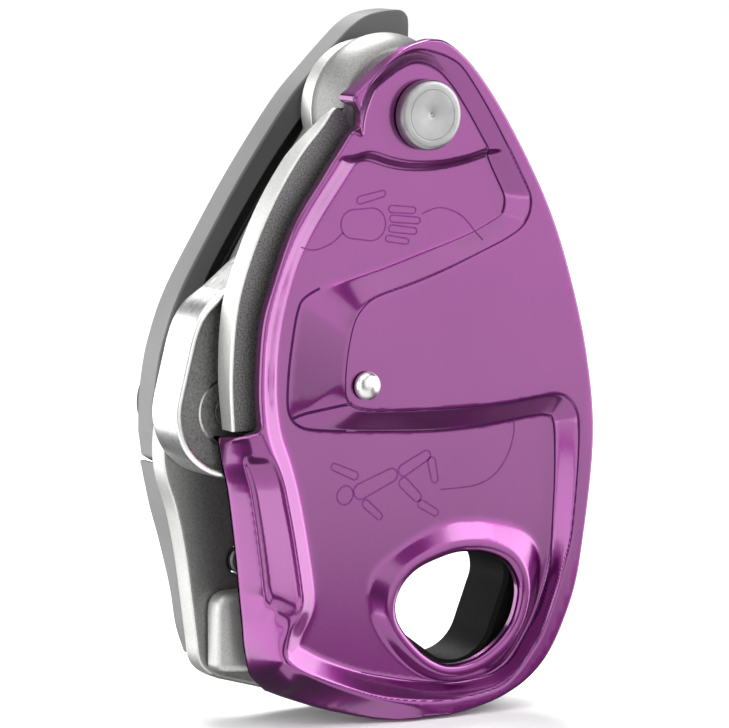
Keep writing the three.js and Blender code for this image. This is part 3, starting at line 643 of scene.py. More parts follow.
class Relief:
    """Depth of the plate's front on a fine grid, its folds rounded off."""

    def __init__(self):
        self.x = np.arange(-43.0, 27.0, GRID)
        self.z = np.arange(-20.0, 92.0, GRID)
        xs, zs = np.meshgrid(self.x, self.z)
        self.points = np.column_stack([xs.ravel(), zs.ravel()])
        crisp = blurred(self.stamped().reshape(xs.shape), 0.16)
        soft = blurred(self.soft_band().reshape(xs.shape), 0.6)
        rise = smooth_max(crisp, soft, 0.25)
        depth = self.folded((PLATE_FLOOR - rise).ravel()).reshape(xs.shape)
        corner_x, corner_z = PANEL_CORNER
        corner = eased((corner_x - xs) / 2) * eased((corner_z - zs) / 2.5) * eased((zs + 12) / 2)
        self.depth = blurred(depth + (blurred(depth, 0.4) - depth) * corner, 0.14)

    def within(self, low, high, measure, elsewhere):
        """A measure of the grid's points inside a window, and one value outside it."""
        kept = np.all((self.points > low) & (self.points < high), axis=1)
        values = np.full(len(self.points), float(elsewhere))
        values[kept] = measure(self.points[kept])
        return values

    def stamped(self):
        """Rim, island, seat and the lip of the hole."""
        points = self.points
        edge, foot = spline(RIM_EDGE, 3), spline(RIM_FOOT, 3)
        region = np.vstack([edge, [(-45, -3), (-45, -40), (60, -40), (60, 120), (-30, 120),
                                   (-22, 76)]])
        to_edge, _ = distance(points, edge)
        to_foot, _ = distance(points, foot)
        seat_region = np.vstack([spline(SEAT_CREASE, 4), [(30, 75), (30, 110), (-50, 110),
                                                          (-50, 72)]])
        seat = self.within((-50, 60), (50, 120), lambda p: signed(p, seat_region), -9)
        floor = SEAT_RISE * eased(0.5 + seat / SEAT_SLOPE)
        share = to_foot / (to_edge + to_foot + 1e-9)
        walls_end = np.vstack([foot, [(-45, 0), (-45, -40), (60, -40), (60, 120), (-22, 120),
                                      (-20.0, 76)]])
        share = np.where(inside(points, walls_end), share, 0)
        share = np.where(inside(points, region), 1, share)
        rim = RIM_RISE - 0.9 * eased((-14 - points[:, 0]) / 14) * eased((4 - points[:, 1]) / 10)
        rise = floor + (rim - floor) * share
        around = ((-18, -15), (18, 16))
        lip = closed_spline(HOLE_EDGE, 3)
        lip = lip - inward(lip) * LIP_WIDTH
        foot_loop = closed_spline(LIP_FOOT, 3)
        to_lip = self.within(*around, lambda p: signed(p, lip), -9)
        to_foot = self.within(*around, lambda p: signed(p, foot_loop), -9)
        slope = np.where(to_lip > 0, 1, np.where(to_foot > 0, to_foot / (to_foot - to_lip), 0))
        return np.maximum(rise, LIP_RISE * slope)

    def soft_band(self):
        """Low band along the left edge that falls softly to the floor."""
        top = spline(BAND_TOP, 4)
        region = np.vstack([top, [(-30, 95), (-60, 95), (-60, -4.6)]])
        low, high = (-60, -20), (-12, 90)
        away = self.within(low, high, lambda p: distance(p, top)[0], 99)
        over = self.within(low, high, lambda p: inside(p, region), 0)
        share = np.where(over > 0, 1, 1 - away / BAND_WIDTH)
        return BAND_RISE * np.clip(share, 0, 1)

    def folded(self, depth):
        """The skirt: depth runs from the fold back to the rear edge."""
        kept = (self.points[:, 0] < 0) & (self.points[:, 1] < 33)
        points = self.points[kept]
        fold = spline([(x, z) for x, z, _ in FOLD], 4)
        rear_depth = np.interp(np.arange(len(fold)) / 4, np.arange(len(FOLD)),
                               [end for *_, end in FOLD])
        rear = spline(SKIRT_REAR[::-1] + PLATE_RIGHT[:-4:-1], 4)
        beyond = np.vstack([fold, [(5, -40), (-60, -40), (-60, 32)]])
        to_fold, along = distance(points, fold)
        outside = ~inside(points, np.vstack([rear, [(30, -16), (30, 30), (-20, 60)]]))
        to_rear, _ = distance(points, rear)
        to_rear = np.where(outside, -to_rear, to_rear)
        share = to_fold / np.maximum(to_fold + to_rear, 0.2)
        share = np.where(inside(points, beyond), np.clip(share, 0, MOST_SHARE), 0)
        end = np.interp(along, np.arange(len(fold)), rear_depth)
        x, z = points.T
        height = z + LEDGE_TILT * (x - LEDGE_X)
        panelled = eased((height - LEDGE_LOW) / (LEDGE_HIGH - LEDGE_LOW))
        panelled *= eased((PANEL_TOP[1] - z) / (PANEL_TOP[1] - PANEL_TOP[0]))
        plain = np.interp(share, *zip(*PLAIN_PROFILE))
        panel = np.interp(share, *zip(*PANEL_PROFILE))
        straight = eased((x - STRAIGHT_FROM) / 4)
        plain = plain + (share - plain) * straight
        profile = plain + (panel - plain) * panelled
        here = depth[kept]
        here = here + (end - here) * profile
        ledges = np.interp(height, *zip(*LEDGES))
        here += ledges * eased(share / 0.2) * eased((1 - share) / 0.35) * (1 - straight)
        result = depth.copy()
        result[kept] = here
        return result

    def sample(self, points, values=None):
        """Depth, or other values of the grid, at any points by interpolation."""
        gx = np.clip((points[:, 0] - self.x[0]) / GRID, 0, len(self.x) - 2.001)
        gz = np.clip((points[:, 1] - self.z[0]) / GRID, 0, len(self.z) - 2.001)
        i, j = gx.astype(int), gz.astype(int)
        u, v = gx - i, gz - j
        d = self.depth if values is None else values
        return ((d[j, i] * (1 - u) + d[j, i + 1] * u) * (1 - v)
                + (d[j + 1, i] * (1 - u) + d[j + 1, i + 1] * u) * v)

    def bend(self):
        """How strongly the surface bends, on the grid."""
        d = self.depth
        bent = np.zeros_like(d)
        bent[1:-1, 1:-1] = (abs(d[1:-1, 2:] + d[1:-1, :-2] - 2 * d[1:-1, 1:-1])
                            + abs(d[2:, 1:-1] + d[:-2, 1:-1] - 2 * d[1:-1, 1:-1]))
        return bent / GRID ** 2


def spread(grid, cells):
    """Largest value within some cells of each grid point."""
    for axis in (0, 1):
        shifts = [np.roll(grid, k, axis=axis) for k in range(-cells, cells + 1)]
        grid = np.max(shifts, axis=0)
    return grid


def smooth_max(a, b, reach):
    """Larger of two grids, blended where they are nearly equal."""
    h = np.clip(0.5 + 0.5 * (a - b) / reach, 0, 1)
    return b + (a - b) * h + reach * h * (1 - h)


def blurred(grid, sigma):
    """Gaussian blur of a grid, sigma in millimetres."""
    cells = sigma / GRID
    half = int(math.ceil(3 * cells))
    kernel = np.exp(-0.5 * (np.arange(-half, half + 1) / cells) ** 2)
    kernel /= kernel.sum()
    for axis in (0, 1):
        padding = [(half, half) if k == axis else (0, 0) for k in (0, 1)]
        wide = np.pad(grid, padding, mode="edge")
        grid = sum(w * np.take(wide, range(k, k + grid.shape[axis]), axis=axis)
                   for k, w in enumerate(kernel))
    return grid


def plate_outline():
    """Outer edge of the side plate."""
    return joined(spline(PLATE_RIGHT, 12), spline(SKIRT_REAR, 8), SKIRT_TOP, spline(NOTCH, 10),
                  TOP_LEFT, spline(TOP_FOLD, 10))


class Plate:
    """Front surface of the side plate: relief and rounded edges; the engraved lines are laid on it
    separately.
    """

    ROUND = 0.45

    def __init__(self):
        self.relief = Relief()
        traced = resampled(plate_outline(), 0.45, closed=True)
        self.outline = traced + 0.03 * inward(traced)
        self.hole = resampled(closed_spline(HOLE_EDGE, 8), 0.4, closed=True)
        self.pin_hole = circle(PIVOT, PIN_BORE_R, 48)
        grid, shape = self.relief.points, self.relief.depth.shape
        coarse = resampled(self.outline, 1.2, closed=True)
        self.to_edge = signed(grid, coarse).reshape(shape)
        around = self.relief.within((-14, -11), (13, 11), lambda p: -signed(p, self.hole), 9)
        self.to_hole = around.reshape(shape)

    def front(self, points):
        return self.relief.sample(points) + self.rounding(points)

    def rounding(self, points):
        """Drop towards the outer edge and the hole."""
        edge = np.clip(self.relief.sample(points, self.to_edge), 0, self.ROUND)
        roll = np.clip(self.relief.sample(points, self.to_hole), 0, LIP_ROLL)
        return fall(edge, self.ROUND) + fall(roll, LIP_ROLL)

    def normals(self, points):
        slopes = np.gradient(self.relief.depth, GRID)
        step = 0.08
        n = -np.ones((len(points), 3))
        for column, slope, move in ((0, slopes[1], (step, 0)), (2, slopes[0], (0, step))):
            rounded = self.rounding(points + move) - self.rounding(points - move)
            n[:, column] = self.relief.sample(points, slope) + rounded / (2 * step)
        return n / np.linalg.norm(n, axis=1)[:, None]

    def back(self, points):
        depth = self.relief.sample(points) + SHEET
        fold = spline(TOP_FOLD, 6)
        near, along = distance(points, fold)
        reach = np.interp(along, [0, len(fold) - 1], [4.0, 0.2])
        flange = -8.6 + reach * eased((2.0 - near) / 0.8)
        deeper = np.where(near < 2.0, np.maximum(depth, flange), depth)
        return np.minimum(deeper, EDGE_BACK)

    def inner_points(self):
        """Points over the plate, dense where it bends and beside its edges."""
        bent = self.relief.bend()
        xs, zs = np.meshgrid(self.relief.x, self.relief.z)
        rows, columns = np.indices(xs.shape)
        coarse = (rows % 6 == 0) & (columns % 6 == 0)
        middle = (rows % 2 == 0) & (columns % 2 == 0) & (spread(bent, 3) > 0.10)
        keep = coarse | middle | (spread(bent, 1) > 0.7)
        points = np.column_stack([xs[keep], zs[keep]])
        inner = self.relief.sample(points, self.to_edge) > 0.62
        clear = self.relief.sample(points, self.to_hole) > 1.15
        off_pin = np.hypot(*(points - PIVOT).T) > 4.1
        return points[inner & clear & off_pin]

    def build(self, material):
        loops = [self.outline, self.hole, self.pin_hole]
        points = np.vstack(loops)
        edges = []
        start = 0
        for loop in loops:
            edges += [(start + i, start + (i + 1) % len(loop)) for i in range(len(loop))]
            start += len(loop)
        rings = [self.outline + inward(self.outline) * inset for inset in (0.08, 0.2, 0.42)]
        rings += [self.hole - inward(self.hole) * inset for inset in (0.1, 0.25, 0.5, 0.75, 1.0)]
        extra = np.vstack(rings + [self.inner_points()])
        inner = ((self.relief.sample(extra, self.to_edge) > 0.03)
                 & (self.relief.sample(extra, self.to_hole) > 0.03))
        points = np.vstack([points, extra[inner]])
        flat = [Vector((float(x), float(z))) for x, z in points]
        triangles = triangulated(flat, edges, loops)
        return self.mesh(points, triangles, loops, material)

    def mesh(self, points, triangles, loops, material):
        count = len(points)
        front, back = self.front(points), self.back(points)
        vertices = [(x * MM, y * MM, z * MM) for (x, z), y in zip(points, front)]
        vertices += [(x * MM, y * MM, z * MM) for (x, z), y in zip(points, back)]
        faces, corner_normals = [], []
        normals = self.normals(points)
        for tri in triangles:
            a, b, c = tri
            turn = np.cross(points[b] - points[a], points[c] - points[a])
            near = (a, b, c) if turn > 0 else (a, c, b)
            faces.append(near)
            corner_normals += [tuple(normals[v]) for v in near]
            far = tuple(v + count for v in near[::-1])
            faces.append(far)
            corner_normals += [tuple(-normals[v - count]) for v in far]
        start = 0
        for number, loop in enumerate(loops):
            out = -inward(loop) * (1 if number == 0 else -1)
            out /= np.linalg.norm(out, axis=1)[:, None]
            for i in range(len(loop)):
                j = (i + 1) % len(loop)
                a, b = start + i, start + j
                quad = (a, b, b + count, a + count)
                along = points[b] - points[a]
                if along[0] * out[i][1] - along[1] * out[i][0] < 0:
                    quad = quad[::-1]
                faces.append(quad)
                for v in quad:
                    k = (v % count) - start
                    corner_normals.append((out[k][0], 0.0, out[k][1]))
            start += len(loop)
        mesh = bpy.data.meshes.new("side_plate")
        mesh.from_pydata(vertices, [], faces)
        mesh.shade_smooth()
        mesh.normals_split_custom_set(corner_normals)
        obj = bpy.data.objects.new("side_plate", mesh)
        bpy.context.scene.collection.objects.link(obj)
        return dressed(obj, material, "side_plate", ["moving_side_plate"])


def fall(inset, radius):
    """Drop of a rounded edge at a distance inside it."""
    return radius - np.sqrt(np.maximum(radius ** 2 - (radius - inset) ** 2, 0))


def ribbon(plate, line, width, lift=0.02):
    """Narrow strip laid along a line on the plate."""
    line = resampled(line, 0.3)
    ahead = np.gradient(line, axis=0)
    ahead /= np.linalg.norm(ahead, axis=1)[:, None]
    side = np.column_stack([-ahead[:, 1], ahead[:, 0]]) * width / 2
    left, right = line + side, line - side
    vertices, faces = [], []
    for edge in (left, right):
        depth = plate.relief.sample(edge) - lift
        vertices += [(x, y, z) for (x, z), y in zip(edge, depth)]
    for i in range(len(line) - 1):
        j = i + len(line)
        faces.append((i, i + 1, j + 1, j))
    return vertices, faces


def engraved_lines():
    """Generic marks: a rope path, an open palm and a small climbing figure."""
    limbs = [
        [(-18.6, 60.6, 2.2), (-15.4, 60.4, 2.5)],
        [(-17.4, 64.2, 0.6), (-13.4, 65.0, 0.5)],
        [(-11.8, 62.6, 0.55), (-8.0, 62.2, 0.5)],
        [(-11.6, 61.1, 0.55), (-7.2, 60.6, 0.5)],
        [(-11.8, 59.6, 0.55), (-7.8, 59.0, 0.5)],
        [(-12.4, 58.1, 0.5), (-9.2, 57.5, 0.45)],
        [(-17.3, 19.5, 1.25), (-11.8, 21.6, 1.05)],
        [(-9.6, 22.2, 0.95), (-5.6, 24.2, 0.8)],
        [(-4.6, 23.2, 0.7), (-4.0, 20.4, 0.6)],
        [(-9.6, 20.2, 0.85), (-7.2, 17.9, 0.75)],
        [(-6.4, 16.7, 0.65), (-3.9, 15.2, 0.55)],
        [(-18.4, 22.0, 0.65), (-22.0, 23.6, 0.55)],
        [(-16.4, 17.5, 0.65), (-14.0, 15.4, 0.55)],
    ]
    head = [(-20.2, 19.0, 1.35), (-20.0, 19.2, 1.35)]
    for limb in [*limbs, head]:
        line = wrapped(limb)
        yield np.vstack([line, line[:1]])
    yield spline([(-6.4, 61.6), (-3.2, 62.4), (0.4, 61.2), (2.8, 58.9), (3.6, 57.2)], 6)
    yield spline([(-28.0, 57.6), (-25.6, 57.0), (-22.6, 57.8), (-20.4, 59.4)], 6)
    yield spline([(10.4, 29.0), (10.4, 26.4), (9.3, 23.2), (7.0, 20.4), (3.4, 18.9), (-3.0, 18.7)], 6)


def crease_lines():
    """Where the dark ribbons of painted fold shadow lie, and their widths: edge and foot of the
    walls, pocket's corner.
    """
    edge = spline(RIM_EDGE, 6)
    yield edge[6:-18], 0.2
    foot = spline(RIM_FOOT, 6)
    yield foot[18:108], 0.2
    yield foot[152:196], 0.42
    yield foot[196:300], 0.2
    yield spline([(-29.6, 31.4), (-27.6, 32.2), (-24.0, 32.9), (-20.6, 33.6)], 6), 0.5


# --------------------------------------------------------------- other pieces

# stations up the notch: rolled rear edge, front edge of the roll, inner edge
WEAR = [
    ((-38.5, 29.9), (-38.0, 29.9), (-30.0, 29.9)),
    ((-39.2, 38.7), (-38.3, 38.4), (-30.0, 38.4)),
    ((-38.4, 49.1), (-37.3, 48.7), (-28.0, 46.5)),
    ((-35.4, 57.5), (-34.5, 57.2), (-26.5, 53.0)),
    ((-31.9, 64.5), (-30.8, 64.6), (-23.5, 60.0)),
    ((-27.4, 71.0), (-26.5, 71.0), (-20.5, 66.5)),
    ((-23.3, 75.4), (-22.5, 75.4), (-17.8, 72.2)),
    ((-21.4, 77.5), (-20.9, 77.5), (-18.0, 75.2)),
    ((-20.3, 78.2), (-20.1, 78.2), (-18.8, 77.3)),
]
FOLD_R = 0.55
WEAR_WALL = 1.4


def wear_strip():
    """Strip rolled back round the plate's left edge."""
    steps = 6
    rear, bend, inner = (spline([station[k] for station in WEAR], steps) for k in range(3))
    sections = []
    for i in range(len(rear)):
        share = i / steps
        end = EDGE_BACK - 1.2 * max(0.0, share - 5)
        front = CHANNEL_FRONT
        (rx, rz), (bx, bz), (ix, iz) = rear[i], bend[i], inner[i]
        section = []
        for a in np.radians(np.linspace(0, 75, 6)):
            section.append((bx - FOLD_R * math.sin(a), front + 1.2 * FOLD_R * (1 - math.cos(a)), bz))
        section += [(rx + 0.1, end, rz), (rx + WEAR_WALL, end, rz - 0.1),
                    (bx + WEAR_WALL + 0.5, front + WEAR_WALL, bz - 0.2),
                    (ix, front + WEAR_WALL, iz), (ix, front, iz)]
        sections.append(section)
    return loft(sections)


def main_pin():
    """Turned pin, its head with a dimple in the middle and a fine ring."""
    top = -9.6
    under = -7.7
    r = PIN_HEAD_R
    return lathe(PIVOT, [
        (0.0, top + 0.28), (0.22, top + 0.24), (0.42, top + 0.05), (0.6, top), (3.7, top),
        (3.8, top + 0.06), (3.92, top + 0.06), (4.02, top), (r - 0.75, top), (r - 0.5, top + 0.05),
        (r - 0.2, top + 0.24), (r - 0.04, top + 0.55), (r, top + 0.8), (r, under), (3.5, under),
        (3.5, FRAME_BACK - 0.2), (0.0, FRAME_BACK - 0.2)], 96)


def rivet():
    """Domed rivet through the plate."""
    top, under = -10.9, -9.3
    r = 2.2
    dome = [(r * math.sin(a), top + 1.35 * (1 - math.cos(a))) for a in np.radians(range(0, 91, 9))]
    return lathe(RIVET, [(0.0, top)] + dome[1:] + [(r, under), (1.2, under), (1.2, -2.0), (2.2, -2.0),
                                                   (2.2, -1.4), (0.0, -1.4)], 64)


FRAME_LEFT = [
    (-41.2, 40.2), (-42.6, 35.0), (-43.8, 28.0), (-43.6, 22.5), (-41.7, 16.5), (-40.2, 9.6),
    (-39.2, 2.8), (-38.4, -3.0), (-37.8, -7.0), (-36.4, -9.0), (-34.1, -10.3),
]
FRAME_BOTTOM = [
    (-28.0, -12.0), (-20.0, -14.2), (-10.0, -15.6), (0.0, -15.6), (8.0, -12.9), (14.0, -8.0),
]
FRAME_RIGHT = [
    (18.4, -0.5), (20.5, 8.0), (22.4, 23.0), (21.2, 38.0), (17.9, 50.8), (13.5, 62.2),
    (6.9, 74.1), (1.0, 82.4),
]


def frame_shape():
    """Casting: back wall with its holes, right wall, pivot boss and hole surround."""
    back_wall = softened(joined(spline(FRAME_LEFT, 8), spline(FRAME_BOTTOM, 8),
                                spline(FRAME_RIGHT, 8), arc(PIVOT, BOSS_REAR_R, 42, 196, 48),
                                spline([(-21.5, 67.5), (-27.0, 59.5), (-31.5, 52.0)], 8),
                                [(-38.0, 43.5)]), 1.2)
    right_wall = softened(joined(spline(FRAME_RIGHT[1:], 8),
                                 spline([(-1.4, 80.6), (4.2, 73.0), (10.9, 61.2), (15.3, 49.9),
                                         (18.6, 37.4), (19.8, 23.0), (17.9, 8.6)], 8)), 0.5)
    bores = [circle(PIVOT, 5.9, 64), wrapped(HOLE, REAR_LIP), circle(AXLE, 6.9, 72),
             circle(ANVIL_SCREW, 2.4, 36), circle((-19.0, 20.4), 1.6, 24),
             *[circle(screw, 1.5, 24) for screw in SCREWS]]
    seat = slab(circle(PIVOT, 8.3, 96), CAM_FRONT + 0.5, FRAME_BACK - 1.9,
                holes=[circle(PIVOT, PIN_BORE_R, 48)], edge=0.2)
    surround = slab(wrapped(HOLE, REAR_LIP + 1.6), HOLE_BACK - 3.5, FRAME_FRONT + 0.5,
                    holes=[wrapped(HOLE, LINER_WALL + GAP)], edge=0.6)
    rear_surround = slab(wrapped(HOLE, REAR_LIP + 0.3), HOLE_BACK - 2.0, HOLE_BACK,
                         holes=[wrapped(HOLE, LINER_WALL + GAP)], edge=0.1)
    web = slab(circle(AXLE, 7.2, 72), FRAME_FRONT + 0.02, FRAME_FRONT + 1.5,
               holes=[circle(AXLE, AXLE_BORE_R, 40)], edge=0.1)
    return together(slab(back_wall, FRAME_FRONT, FRAME_BACK, holes=bores, edge=0.7),
                    slab(right_wall, CHANNEL_FRONT, FRAME_FRONT + 0.5, edge=0.5),
                    seat, surround, rear_surround, web)


def boss_shape():
    """Machined boss that carries the main pin."""
    nose = spline([(BOSS_R - 3.0, CAM_FRONT), (BOSS_R - 2.3, CAM_FRONT + 0.3),
                   (BOSS_R - 1.3, CAM_FRONT + 1.6), (BOSS_R - 0.6, CAM_FRONT + 3.4),
                   (BOSS_R - 0.4, CAM_FRONT + 5.0), (BOSS_REAR_R + 0.7, FRAME_FRONT - 0.9),
                   (BOSS_REAR_R, FRAME_FRONT - 0.02)], 4)
    return lathe(PIVOT, [(PIN_BORE_R, CAM_FRONT), *nose, (PIN_BORE_R, FRAME_FRONT - 0.02)], 120)


def anvil_shape():
    """Block with a soft ridge, its front face turned a little to the left."""
    across = [(-36.6, 7.9), (-36.5, 5.4), (-36.2, 4.9), (-35.7, 4.6), (-32.6, 3.4), (-24.0, 3.4),
              (-21.2, 5.0), (-21.2, 7.9)]
    section = softened(np.array(across), 0.5)
    middle = np.array([-29.0, 8.2])
    sections = []
    for z, share in [(-8.6, 0.90), (-8.2, 0.97), (-7.4, 1.0), (0.6, 1.0), (2.0, 0.97), (3.0, 0.88),
                     (3.5, 0.74), (3.7, 0.55)]:
        grown = middle + (section - middle) * share
        sections.append([(x, min(y, FRAME_FRONT - GAP), z) for x, y in grown])
    return loft(sections)


def anvil_screw_shape():
    """Low head with a small round socket."""
    return lathe(ANVIL_SCREW, [(0.0, 9.2), (0.9, 9.2), (0.95, 8.2), (1.1, 8.05), (1.8, 8.05),
                               (2.1, 8.3), (2.1, 9.5), (1.2, 9.5), (1.2, FRAME_BACK),
                               (0.0, FRAME_BACK)], 48)


def liner_shape():
    """Sleeve in the carabiner hole, with a flange behind the plate."""
    outer, inner = wrapped(HOLE, LINER_WALL), wrapped(HOLE, 0.1)
    lead = wrapped(HOLE, 0.7)
    rear = HOLE_BACK - 0.3
    flange = wrapped(HOLE, LINER_WALL + 1.7)
    return tube_wall([(flange, CHANNEL_FRONT), (flange, CHANNEL_FRONT + 0.6),
                      (outer, CHANNEL_FRONT + 0.8), (outer, rear)],
                     [(lead, CHANNEL_FRONT), (inner, CHANNEL_FRONT + 0.6), (inner, rear - 0.9),
                      (wrapped(HOLE, 0.25), rear - 0.3), (wrapped(HOLE, 0.7), rear)])


CAM_UPPER = [(-43.6, 43.4), (-42.4, 46.4), (-40.4, 48.9), (-37.4, 50.9)]
CAM_LOBE = [(-33.0, 54.3), (-27.5, 57.4), (-20.0, 57.6), (-12.6, 53.6), (-8.8, 46.0),
            (-9.4, 37.4), (-15.0, 30.6), (-24.0, 25.4)]


def cam_shape():
    """Cam: a polished body, its front rim standing round the recess, grooved for the rope."""
    body = softened(joined(arc(AXLE, CAM_HUB_R, 270, 165, 30), spline(CAM_UPPER, 8),
                           spline(CAM_LOBE, 8)), 1.0)
    recess = softened(joined(arc(AXLE, 8.8, 270, 165, 30),
                             spline([(-42.2, 43.2), (-41.2, 45.7), (-39.6, 47.7), (-36.6, 49.6)], 8),
                             [(-32.0, 52.8), (-27.0, 55.0), (-20.5, 52.0), (-19.0, 34.0),
                              (-25.0, 28.0)]), 1.0)
    middle = softened(joined(arc(AXLE, CAM_HUB_R, 270, 165, 30), spline(CAM_UPPER, 8),
                             spline([(-33.0, 54.2), (-28.0, 54.6), (-21.0, 53.6), (-15.4, 49.8),
                                     (-13.0, 44.6), (-14.0, 38.4), (-18.6, 33.6),
                                     (-25.4, 28.4)], 8)), 1.0)
    bore = circle(AXLE, 4.9, 48)
    rim = slab(body, CAM_FRONT, CAM_FRONT + 1.6, holes=[recess], edge=0.7, rounds=5,
               rear_edge=0.01)
    waist = slab(middle, CAM_FRONT + 1.6, CAM_BACK - 1.6, holes=[bore], edge=0.01)
    rear = slab(body, CAM_BACK - 1.6, CAM_BACK, holes=[bore], edge=0.01, rear_edge=0.5)
    return together(rim, waist, rear)


def cam_recess_shape():
    """Blasted face inside the cam's rim."""
    recess = softened(joined(arc(AXLE, 9.0, 270, 165, 30),
                             spline([(-42.4, 43.2), (-41.4, 45.8), (-39.7, 47.9), (-36.6, 49.8)], 8),
                             [(-32.0, 53.0), (-27.0, 55.2), (-20.2, 52.2), (-18.8, 33.8),
                              (-25.0, 27.8)]), 1.0)
    return slab(recess, CAM_FRONT + 1.25, CAM_FRONT + 2.0, holes=[circle(AXLE, 5.4, 60)], edge=0.05)


def axle_shape():
    """Round head in the cam, on a shank that carries cam and handle."""
    head = CAM_FRONT + 1.5
    r = 5.1
    return lathe(AXLE, [(0.0, head), (2.3, head), (2.35, head + 0.08), (2.6, head + 0.08),
                        (2.65, head), (r - 0.45, head), (r - 0.15, head + 0.12), (r, head + 0.4),
                        (r, head + 1.6), (3.0, head + 1.6), (3.0, HANDLE_BACK + 0.1),
                        (0.0, HANDLE_BACK + 0.1)], 72)


def axle_nut_shape():
    """Round nut behind the handle."""
    front = HANDLE_BACK + 0.4
    return lathe(AXLE, [(0.0, front), (3.8, front), (4.3, front + 0.4), (4.3, front + 0.8),
                        (3.9, front + 1.2), (3.2, front + 1.2), (3.1, front + 1.0),
                        (2.6, front + 1.0), (2.5, front + 1.4), (0.0, front + 1.4)], 64)


HANDLE_OUTER = [
    (2.9, 89.2), (2.6, 90.8), (1.0, 91.7), (-3.7, 91.3), (-6.8, 89.9), (-9.9, 87.3),
    (-14.2, 83.2), (-19.1, 78.1), (-26.4, 68.3), (-32.4, 59.1), (-38.2, 49.4), (-41.1, 42.0),
    (-42.3, 36.6), (-42.75, 32.0), (-42.85, 27.8),
]
HANDLE_INNER = [
    (-25.7, 32.4), (-25.3, 39.0), (-23.0, 46.5), (-18.6, 55.0), (-12.2, 63.8), (-4.4, 72.4),
    (0.6, 78.4), (2.8, 83.4),
]
STRIP_DEPTH = 0.5


def handle_outline():
    """Outline of the handle and its hub."""
    return softened(joined(spline(HANDLE_OUTER, 8), arc(AXLE, HUB_R - 0.06, 232, 360, 48),
                           spline(HANDLE_INNER, 8)), 1.4)


def handle_hollow():
    """Outline of the hollow in the handle's front."""
    return softened(joined(spline([(-3.0, 87.6), (-6.4, 85.9), (-11.6, 81.0), (-18.8, 72.9),
                                   (-24.2, 65.8), (-29.6, 57.8), (-33.4, 51.6),
                                   (-35.4, 47.0)], 6), [(-34.0, 44.0), (-29.0, 43.0)],
                           spline([(-25.4, 46.5), (-21.0, 55.0), (-14.0, 64.8), (-6.4, 73.4),
                                   (-2.4, 78.8)], 6), [(-1.2, 83.0)]), 1.0)


def handle_shape():
    """Grey shell: walls round the hollow, and a closed back with a rounded edge."""
    bore = circle(AXLE, AXLE_BORE_R, 40)
    walls = slab(handle_outline(), HANDLE_FRONT + STRIP_DEPTH, HANDLE_FRONT + 3.5,
                 holes=[handle_hollow(), bore], edge=0.01)
    back = slab(handle_outline(), HANDLE_FRONT + 3.5, HANDLE_BACK, holes=[circle(AXLE, 6.4, 64)],
                edge=0.01, rear_edge=0.5, rounds=5)
    web = slab(circle(AXLE, 6.6, 64), HANDLE_FRONT + 1.0, HANDLE_BACK - 2.4, holes=[bore], edge=0.1)
    return together(walls, back, web)


def handle_front_shape():
    """Textured front face of the shell's walls."""
    return slab(handle_outline(), HANDLE_FRONT, HANDLE_FRONT + STRIP_DEPTH,
                holes=[handle_hollow(), circle(AXLE, AXLE_BORE_R, 40)], edge=0.35, rear_edge=0.01)


def core_shape():
    """Black panel in the handle's hollow, with a raised middle."""
    outline = softened(joined(spline([(-3.5, 87.0), (-6.6, 85.2), (-11.4, 80.5), (-18.4, 72.5),
                                      (-23.8, 65.5), (-29.1, 57.6), (-32.9, 51.4),
                                      (-34.8, 47.0)], 6), [(-33.6, 44.4), (-29.2, 43.5)],
                              spline([(-25.9, 46.7), (-21.5, 55.2), (-14.4, 65.1), (-6.8, 73.8),
                                      (-3.0, 79.0)], 6), [(-2.0, 82.6)]), 0.8)
    ridge = softened(outline + inward(outline) * 1.3, 0.3)
    return together(slab(outline, HANDLE_FRONT + 1.6, HANDLE_FRONT + 3.1, edge=0.3),
                    slab(ridge, HANDLE_FRONT + 1.0, HANDLE_FRONT + 1.8, edge=0.3))


def guard_shape():
    """Grey block behind the frame's lower left."""
    outline = softened(joined(spline([(-42.6, 23.3), (-41.1, 16.5), (-39.4, 10.6), (-37.5, 3.0),
                                      (-36.5, -3.0), (-35.0, -7.4)], 8), [(-32.2, -8.4)],
                              spline([(-29.0, -5.0), (-29.4, 6.0), (-29.6, 14.0)], 8),
                              [(-29.8, 20.0)], arc(AXLE, HUB_R + 0.4, 296, 236, 6)), 0.8)
    return slab(outline, COVER_FRONT, HANDLE_BACK, edge=0.4, rear_edge=0.6, rounds=5)


def cover_shape():
    """Back cover, with a recess for each screw head."""
    outline = softened(joined(spline([(-24.6, 31.0), (-24.2, 39.2), (-21.9, 46.3), (-17.6, 54.6),
                                      (-11.3, 63.0), (-3.6, 71.4), (2.2, 77.0)], 8),
                              spline([(5.4, 73.4), (12.0, 61.6), (16.3, 50.2), (19.5, 37.6),
                                      (20.6, 24.0)], 8), arc((0, 0), 18.6, 42, 144, 12),
                              [(-28.2, 14.6), (-28.6, 21.0)]), 1.4)
    heads = [circle(screw, 2.5, 40) for screw in SCREWS]
    bores = [circle(screw, 1.5, 32) for screw in SCREWS]
    knob_bore, detent = circle(KNOB, KNOB_BORE_R, 40), circle((KNOB[0] + 5.6, KNOB[1]), 1.6, 32)
    return together(
        slab(outline, COVER_BACK - 1.7, COVER_BACK, holes=[*heads, knob_bore, detent], edge=0.1,
             rear_edge=0.5, rounds=4),
        slab(outline, COVER_FRONT, COVER_BACK - 1.6, holes=[*bores, knob_bore], edge=0.4,
             rear_edge=0.05))


def cover_screw_shape(centre):
    """Button head with a round socket."""
    back = COVER_BACK
    return lathe(centre, [(0.0, 9.6), (1.2, 9.6), (1.2, back - 1.3), (2.2, back - 1.3),
                          (2.2, back - 0.45), (1.95, back - 0.12), (1.6, back), (1.2, back),
                          (1.1, back - 0.1), (1.1, back - 0.8), (0.0, back - 0.8)], 48)


